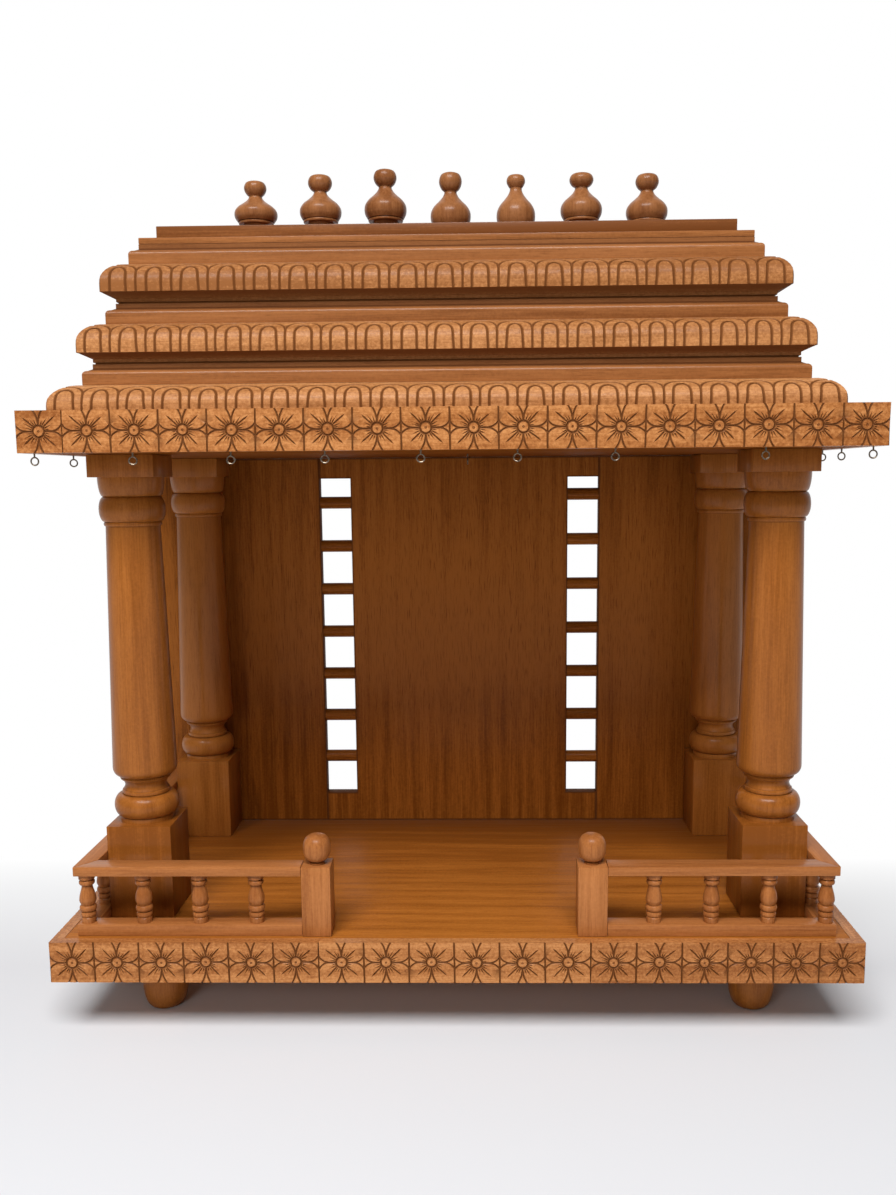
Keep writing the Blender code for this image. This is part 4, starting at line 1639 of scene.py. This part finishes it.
@dataclass
class Roof:
    """The stepped roof: petal and ovolo mouldings, a cap and a plate."""

    tiers: int = 3
    neck_height: float = 5.0
    neck_inset: float = 13.8
    slant_height: float = 6.0
    lip: Point = (0.5, 0.25)
    round_height: float = 24.5
    overhangs: tuple[float, ...] = (30.3, 26.0, 26.0)
    ovolo_face: float = 10.8
    ovolo_round: float = 4.8
    ovolo_neck: float = 9.3
    ovolo_slope: float = 2.2
    backing: float = 8.0
    full_depth: float = 1.5
    joint: float = 0.12
    quirk_height: float = 1.5
    quirk_depth: float = 2.0
    # Painted shade: the petal moulding's neck under the overhang, the ovolo's neck and the corner above its round. The
    # quirk under each petal moulding is painted near black, as shade and as a dark joint line.
    neck_painted_shade: float = 0.34
    quirk_shade_and_joint: float = 1.0
    ovolo_neck_painted_shade: float = 0.22
    slope_corner_painted_shade: float = 0.90
    corner_reach: float = 1.2
    round_bends: int = 9
    ovolo_bends: int = 6
    # The plate is painted darker, as the shade that the roof casts on it.
    plate_painted_shade: float = -0.14
    cap_tone: float = 0.07
    petal_tones: tuple[float, ...] = (0.02, -0.02, -0.12)
    ovolo_tones: tuple[float, ...] = (0.03, -0.02, 0.05)
    petals: tuple[Petals, ...] = (Petals(pitch=39.0), Petals(pitch=38.3), Petals(pitch=40.0))

    def mitred(self, node: str, make: Callable[[float], Shape], piece: Piece, tone: float) -> None:
        """Put four mitred lengths round a node's box.

        Args:
            node: The solid that they stand for.
            make: Makes a length in millimetres whose outer face lies in the plane Y = 0.
            piece: Takes them in.
            tone: How much lighter or darker they are.
        """
        low, high, middle = extent(node)
        half = (high - low) / 2
        for turn in range(4):
            reach, away = (half.x, half.y) if turn % 2 == 0 else (half.y, half.x)
            shape = make(2 * reach / MM)
            for side in (-1, 1):
                self.cut_mitre(shape, side, side * (reach - self.joint * MM))
            moved(shape, (0, -away, low.z))
            quarter = Matrix.Rotation(turn * math.pi / 2, 3, "Z")
            bmesh.ops.rotate(shape, verts=shape.verts, cent=(0, 0, 0), matrix=quarter)
            moved(shape, (middle.x, middle.y, 0))
            piece.add(shape, Grain.ALONG_X if turn % 2 == 0 else Grain.ALONG_Y, tone)

    @staticmethod
    def cut_mitre(shape: Shape, side: int, x: float) -> None:
        """Cut one end of a length at 45 degrees and close it.

        Args:
            shape: The length.
            side: -1 for its left end and 1 for its right end.
            x: Where the cut meets the outer face.
        """
        everything = shape.verts[:] + shape.edges[:] + shape.faces[:]
        bmesh.ops.bisect_plane(
            shape, geom=everything, dist=0.0, plane_co=(x, 0, 0), plane_no=(side, 1, 0), clear_outer=True,
        )
        rim = [edge for edge in shape.edges if edge.is_boundary]
        bmesh.ops.holes_fill(shape, edges=rim, sides=0)
        bmesh.ops.recalc_face_normals(shape, faces=shape.faces)

    def petal_length(self, tier: int, height: float, length: float) -> Shape:
        """Return one carved length of a petal moulding.

        Args:
            tier: Which moulding, from 0 for the lowest.
            height: The moulding's height in millimetres.
            length: Its length in millimetres.

        Returns:
            The closed length, with its outer face in the plane Y = 0.
        """
        overhang = self.overhangs[tier]
        start = height - self.round_height
        if tier:
            edge = self.neck_height + self.slant_height
            sunk = self.neck_inset + self.quirk_depth
            outline = [(sunk, 0.0), (sunk, self.quirk_height - 0.1), (self.neck_inset, self.quirk_height + 0.1),
                       (self.neck_inset, self.neck_height), (self.lip[0], edge - self.lip[1]), (0.0, edge)]
        else:
            outline = [(0.0, 0.0)]
        edge_row = len(outline) - 1
        outline.append((0.0, start))
        round_row = len(outline) - 1
        for index in range(1, self.round_bends + 1):
            angle = math.pi / 2 * index / self.round_bends
            outline.append((overhang * (1 - math.cos(angle)), start + self.round_height * math.sin(angle)))
        steps = [math.dist(first, second) for first, second in zip(outline, outline[1:])]
        rows = [sum(steps[:index]) for index in range(len(outline))]
        foot = rows[edge_row]
        spring = rows[round_row]
        insets = [inset for inset, _ in outline]
        heights = [z for _, z in outline]

        def place(s: float, t: float, depth: float) -> Vector:
            """Return the point at a length along the moulding, a girth and a depth.

            Args:
                s: Millimetres along the moulding.
                t: Millimetres up over its surface.
                depth: Millimetres below its surface.

            Returns:
                The point in metres.
            """
            inset = float(np.interp(t, rows, insets))
            z = float(np.interp(t, rows, heights))
            angle = 0.0
            if t > spring:
                angle = math.pi / 2 * (t - spring) / (rows[-1] - spring)
            inset += depth * math.cos(angle)
            z -= depth * math.sin(angle)
            return Vector((s - length / 2, inset, z)) * MM

        sheet = Sheet(length, rows, self.petals[tier].cuts(length, foot, spring))
        back = (overhang + self.backing) * MM

        def straight(co: Vector) -> Vector:
            """Return the point carried to the back of the moulding."""
            return Vector((co.x, back, co.z))

        shape = backed(sheet.laid(place, self.full_depth), (straight,))
        if tier:
            # Painted shade in the neck, and the quirk painted near black as shade and a dark joint line.
            self.shade_and_dirt(shape, self.quirk_height, edge - 0.2, self.neck_painted_shade)
            self.shade_and_dirt(shape, -1.0, self.quirk_height, self.quirk_shade_and_joint)
        return shape

    @staticmethod
    def shade_and_dirt(shape: Shape, low: float, high: float, share: float) -> None:
        """Darken a band of a moulding by its height, as painted shade in a recess and as a dark joint line in a quirk.

        Args:
            shape: The length of moulding.
            low: The height in millimetres above which it is dark.
            high: The height below which it is dark.
            share: The share of the groove colour painted there.
        """
        Piece.add_layers(shape)
        carve = shape.verts.layers.float["carve"]
        for vert in shape.verts:
            if low < vert.co.z / MM < high:
                vert[carve] = max(vert[carve], share)

    def ovolo_length(self, height: float, length: float) -> Shape:
        """Plane one plain length of an ovolo moulding.

        Args:
            height: The moulding's height in millimetres.
            length: Its length in millimetres.

        Returns:
            The closed length, with its outer face in the plane Y = 0.
        """
        outline = [(0.0, 0.0), (0.0, self.ovolo_face)]
        for index in range(1, self.ovolo_bends + 1):
            angle = math.pi / 2 * index / self.ovolo_bends
            outline.append((self.ovolo_round * (1 - math.cos(angle)),
                            self.ovolo_face + self.ovolo_round * math.sin(angle)))
        corner = self.ovolo_face + self.ovolo_round + self.ovolo_slope
        back = self.ovolo_neck + self.backing
        outline += [(self.ovolo_neck, corner), (self.ovolo_neck, corner + self.corner_reach), (self.ovolo_neck, height)]
        outline += [(back, height), (back, 0.0)]
        corners = [Vector((-length / 2, inset, z)) * MM for inset, z in outline]
        shape = extruded(corners, (length * MM, 0, 0))
        # Painted shade on the ovolo's neck, and a darker painted line in the corner above its round.
        self.shade_and_dirt(shape, corner - 0.1, height + 1.0, self.ovolo_neck_painted_shade)
        self.shade_and_dirt(shape, corner - 0.1, corner + 0.1, self.slope_corner_painted_shade)
        return shape

    def build(self, petal: Material, plain: Material) -> None:
        """Build the roof from the canopy up.

        Args:
            petal: The finish of the petal mouldings.
            plain: The finish of the rest.
        """
        for tier in range(self.tiers):
            for kind, ending, make, tones, dress in (
                ("petal", "carved", partial(self.petal_length, tier), self.petal_tones, (petal, Slot.PETAL)),
                ("ovolo", "planed", self.ovolo_length, self.ovolo_tones, (plain, Slot.PLAIN)),
            ):
                node = f"{kind}_moulding_{tier + 1}"
                low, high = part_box(node)
                piece = Piece(f"{node}_{ending}")
                self.mitred(node, partial(make, (high.z - low.z) / MM), piece, tones[tier])
                piece.finish(*dress, [node])
        # The plate's tone is painted shade.
        for node, tone in (("roof_cap", self.cap_tone), ("roof_plate", self.plate_painted_shade)):
            lone_piece(node, "board", node_plank(node), Grain.ALONG_X, (plain, Slot.PLAIN), tone)


@dataclass(frozen=True)
class Finial:
    """The sizes of one finial's body and knob, in millimetres, and its tone."""

    body_height: float
    body_diameter: float
    knob_height: float
    knob_diameter: float
    tone: float = 0.0


@dataclass
class Finials:
    """The row of seven hand-turned finials, no two quite alike."""

    sizes: tuple[Finial, ...] = (
        Finial(30.0, 52.0, 17.5, 27.0),
        Finial(33.4, 50.6, 19.2, 29.1),
        Finial(37.7, 51.3, 19.7, 27.9, -0.07),
        Finial(40.5, 49.0, 21.9, 27.6),
        Finial(45.7, 47.0, 15.6, 22.5),
        Finial(37.0, 50.3, 16.4, 29.0),
        Finial(35.5, 50.1, 18.9, 28.0),
    )
    body: tuple[Point, ...] = (
        (0.31, 1.00), (0.32, 0.93), (0.42, 0.82), (0.60, 0.70), (0.82, 0.57), (0.96, 0.43),
        (1.00, 0.29), (0.97, 0.14), (0.86, 0.00),
    )
    knob_crown: float = 0.45
    knob: tuple[Point, ...] = ((0.80, 0.10), (0.98, 0.34), (0.98, 0.60), (0.80, 0.86))
    ring: Point = (21.2, 3.5)
    ring_round: float = 0.8
    stem_radius: float = 15.0
    foot: Point = (20.5, 4.5)
    steps: int = 56

    def outline(self, size: Finial, height: float) -> list[Point]:
        """Return a finial's outline above its seat, in millimetres.

        Args:
            size: Its own sizes.
            height: Its whole height.

        Returns:
            Radius and height of each point, from the top down.
        """
        body_top = height - size.knob_height
        body_foot = body_top - size.body_height
        ring_foot = body_foot - self.ring[1]
        radius = size.body_diameter / 2
        knob = size.knob_diameter / 2
        run = [(knob * self.knob_crown, height - 0.1)]
        run += [(knob * share, height - size.knob_height * fall) for share, fall in self.knob]
        run = [(0.0, height), *flowing([*run, (radius * self.body[0][0], body_top)], 5)]
        run += flowing([(radius * share, body_foot + size.body_height * rise) for share, rise in self.body], 5)[1:]
        run += [(self.ring[0] - self.ring_round, body_foot - 0.2)]
        run += bead(body_foot - 0.3, ring_foot, self.ring[0] - self.ring_round, self.ring[0], 5)
        run += [(self.stem_radius, ring_foot), (self.stem_radius, self.foot[1])]
        run += [self.foot, (self.foot[0], 0.0), (0.0, 0.0)]
        return run

    def build(self, material: Material) -> None:
        """Build the finials where their solids stand.

        Args:
            material: Their finish.
        """
        for index, size in enumerate(self.sizes):
            node = f"finial_{index + 1}"
            low, high, middle = extent(node)
            outline = self.outline(size, (high.z - low.z) / MM)
            shape = turning([(radius * MM, z * MM) for radius, z in outline], self.steps)
            finial = moved(shape, (middle.x, middle.y, low.z))
            lone_piece(node, "turned", finial, Grain.ALONG_Z, (material, Slot.FINIAL), size.tone)


# Studio

@dataclass
class Studio:
    """The photograph's camera, a pale floor and soft lights."""

    camera_place: tuple[float, float, float] = (0.0349, -1.3730, 0.6322)
    yaw: float = -0.0209
    pitch: float = 0.1395
    roll: float = -0.0084
    focal_pixels: float = 1079.7
    centre_offset: Point = (13.3, 31.2)
    picture_height: float = 1195.0
    sensor: float = 36.0
    white: tuple[float, ...] = (1.0, 1.0, 1.0, 1.0)
    sky: tuple[float, ...] = (0.97, 0.985, 1.0, 1.0)
    surround: Point = (0.07, 0.20)
    surround_reach: Point = (-0.50, 0.50)
    room: float = 0.10
    room_reach: Point = (0.10, 0.70)
    floor_colour: tuple[float, ...] = (0.75, 0.76, 0.785, 1.0)
    floor_roughness: float = 0.9
    floor_specular: float = 0.1
    floor_behind: Point = (-0.04, 0.36)
    floor_far: Point = (1.1, 2.2)
    key_place: tuple[float, float, float] = (-0.35, -2.85, 3.87)
    key_aim: tuple[float, float, float] = (0.0, -0.1, 0.45)
    key_size: Point = (3.0, 1.6)
    key_power: float = 256.0
    fill_place: tuple[float, float, float] = (-0.9, -2.3, 1.0)
    fill_aim: tuple[float, float, float] = (0.0, 0.0, 0.4)
    fill_size: Point = (0.9, 0.7)
    fill_power: float = 9.0

    def camera(self) -> None:
        """Place the camera where the photograph was taken."""
        data = bpy.data.cameras.new("camera")
        data.sensor_width = self.sensor
        data.lens = self.focal_pixels / self.picture_height * self.sensor
        data.shift_x = -self.centre_offset[0] / self.picture_height
        data.shift_y = self.centre_offset[1] / self.picture_height
        made = bpy.data.objects.new("camera", data)
        ahead = Vector((
            math.sin(self.yaw) * math.cos(self.pitch),
            math.cos(self.yaw) * math.cos(self.pitch),
            -math.sin(self.pitch),
        ))
        level = Vector((math.cos(self.yaw), -math.sin(self.yaw), 0))
        above = level.cross(ahead)
        right = level * math.cos(self.roll) + above * math.sin(self.roll)
        up = above * math.cos(self.roll) - level * math.sin(self.roll)
        turn = Matrix((right, up, -ahead)).transposed().to_4x4()
        made.matrix_world = Matrix.Translation(self.camera_place) @ turn
        bpy.context.scene.collection.objects.link(made)
        bpy.context.scene.camera = made

    @staticmethod
    def seen_directly(graph: Graph) -> Socket:
        """Return 1 for rays from the camera, a reflection or a clear surface.

        Args:
            graph: Takes the nodes.

        Returns:
            The number.
        """
        path = graph.node("ShaderNodeLightPath").outputs
        total = graph.maths("MAXIMUM", path["Is Camera Ray"], path["Is Glossy Ray"])
        return graph.maths("MAXIMUM", total, path["Is Transmission Ray"])

    def world(self) -> None:
        """Set a white backdrop, with a dim room behind the camera in reflections."""
        world = bpy.data.worlds.new("white surround")
        bpy.context.scene.world = world
        graph = Graph(world)
        place = graph.node("ShaderNodeTexCoord").outputs["Generated"]
        ahead = graph.node("ShaderNodeSeparateXYZ", {"Vector": place}).outputs["Y"]
        from_camera = graph.node("ShaderNodeLightPath").outputs["Is Camera Ray"]
        reflected = graph.levels(ahead, *self.room_reach, (self.room, 1.0))
        seen = graph.node("ShaderNodeBackground", {
            "Color": self.white, "Strength": graph.maths("MAXIMUM", from_camera, reflected),
        })
        lit = graph.tree.nodes["Background"]
        graph.give(lit, {"Color": self.sky, "Strength": graph.levels(ahead, *self.surround_reach, self.surround)})
        mix = graph.node("ShaderNodeMixShader", {
            "Fac": self.seen_directly(graph), 1: lit.outputs["Background"], 2: seen.outputs["Background"],
        })
        graph.give(graph.tree.nodes["World Output"], {"Surface": mix.outputs["Shader"]})

    def floor(self, reach: float = 12.0, front: float = 4.0) -> None:
        """Lay a pale floor that turns white behind the shrine and far from it.

        Args:
            reach: Half its length and half its width.
            front: How far it comes forward.
        """
        shape = bmesh.new()
        bmesh.ops.create_grid(shape, x_segments=1, y_segments=1, size=reach)
        mesh = bpy.data.meshes.new("floor")
        moved(shape, (0, reach - front, 0)).to_mesh(mesh)
        shape.free()
        material = bpy.data.materials.new("pale floor")
        graph = Graph(material)
        place = graph.node("ShaderNodeTexCoord").outputs["Object"]
        ahead = graph.node("ShaderNodeSeparateXYZ", {"Vector": place}).outputs["Y"]
        away = graph.node("ShaderNodeVectorMath", {0: place}, operation="LENGTH").outputs["Value"]
        behind = graph.levels(ahead, *self.floor_behind, (0.0, 1.0))
        far = graph.maths("MAXIMUM", behind, graph.levels(away, *self.floor_far, (0.0, 1.0)))
        pale = graph.tree.nodes["Principled BSDF"]
        graph.give(pale, {
            "Base Color": self.floor_colour, "Roughness": self.floor_roughness,
            "Specular IOR Level": self.floor_specular,
        })
        white = graph.node("ShaderNodeEmission", {"Color": self.white})
        mix = graph.node("ShaderNodeMixShader", {
            "Fac": graph.maths("MULTIPLY", far, self.seen_directly(graph)),
            1: pale.outputs["BSDF"], 2: white.outputs["Emission"],
        })
        graph.give(graph.tree.nodes["Material Output"], {"Surface": mix.outputs["Shader"]})
        mesh.materials.append(material)
        made = bpy.data.objects.new("floor", mesh)
        bpy.context.scene.collection.objects.link(made)

    @staticmethod
    def lamp(name: str, place: Sequence[float], aim: Sequence[float], size: Point, power: float) -> bpy.types.Object:
        """Hang one soft rectangular lamp that points at a place.

        Args:
            name: What it is called.
            place: Where it hangs.
            aim: What it points at.
            size: Its width and height.
            power: Its power in watts.

        Returns:
            The lamp.
        """
        data = bpy.data.lights.new(name, "AREA")
        data.shape = "RECTANGLE"
        data.size = size[0]
        data.size_y = size[1]
        data.energy = power
        made = bpy.data.objects.new(name, data)
        made.location = place
        made.rotation_euler = (Vector(aim) - Vector(place)).to_track_quat("-Z", "Y").to_euler()
        bpy.context.scene.collection.objects.link(made)
        return made

    def build(self) -> None:
        """Set up the whole studio."""
        bpy.context.scene.view_settings.view_transform = "Standard"
        self.camera()
        self.world()
        self.floor()
        self.lamp("key softbox", self.key_place, self.key_aim, self.key_size, self.key_power)
        fill = self.lamp("fill softbox", self.fill_place, self.fill_aim, self.fill_size, self.fill_power)
        fill.visible_glossy = False


def main() -> None:
    """Build the shrine's looks and the studio round it."""
    logging.basicConfig(level=logging.INFO, format="%(message)s")
    Studio().build()
    board = Teak(
        "teak boards", (0.43, 0.143, 0.022), (0.335, 0.106, 0.0145), (0.215, 0.061, 0.007),
        coat=0.03, roughness=(0.42, 0.55),
    ).material()
    # A darker copy of the board teak: painted shade on the ceiling's underside.
    ceiling = Teak(
        "teak ceiling", (0.30, 0.090, 0.013), (0.22, 0.063, 0.008), (0.14, 0.038, 0.004),
        roughness=(0.6, 0.7), specular=0.05, coat=0.0,
    ).material()
    carved = Teak(
        "teak carved strips", (0.54, 0.232, 0.078), (0.405, 0.154, 0.045), (0.25, 0.080, 0.019),
        broad=0.18, streaks=0.16, fibres=0.22, mottle=0.50, spread=0.13, groove=(0.11, 0.035, 0.008), coat=0.08,
    ).material()
    turned = Teak(
        "teak columns", (0.37, 0.124, 0.022), (0.295, 0.094, 0.015), (0.205, 0.060, 0.008), streaks=0.24,
    ).material()
    rails = Teak(
        "teak rails", (0.45, 0.170, 0.052), (0.365, 0.130, 0.036), (0.25, 0.079, 0.019), coat=0.08,
    ).material()
    backs = Teak(
        "teak back boards", (0.37, 0.118, 0.018), (0.275, 0.081, 0.0105), (0.15, 0.039, 0.004),
        coat=0.04, specular=0.06, pores=0.75,
    ).material()
    petals = Teak(
        "teak petal mouldings", (0.54, 0.245, 0.090), (0.40, 0.165, 0.054), (0.25, 0.090, 0.024),
        broad=0.20, streaks=0.20, fibres=0.24, mottle=0.50, groove=(0.14, 0.046, 0.011), coat=0.05,
        roughness=(0.40, 0.55),
    ).material()
    plain = Teak("teak plain mouldings", (0.34, 0.128, 0.038), (0.26, 0.093, 0.026), (0.165, 0.053, 0.013)).material()
    feet = Teak("teak feet", (0.38, 0.130, 0.022), (0.30, 0.096, 0.015), (0.20, 0.060, 0.0085)).material()
    knobs = Teak("teak finials", (0.34, 0.138, 0.050), (0.275, 0.107, 0.037), (0.185, 0.063, 0.019)).material()
    Base().build(board, carved)
    Feet().build(feet)
    Columns().build(turned)
    Back().build(backs)
    Balustrade().build(rails)
    Canopy().build(ceiling, carved)
    ScrewEyes().build(Metal().material())
    Roof().build(petals, plain)
    Finials().build(knobs)


if __name__ == "__main__":
    main()
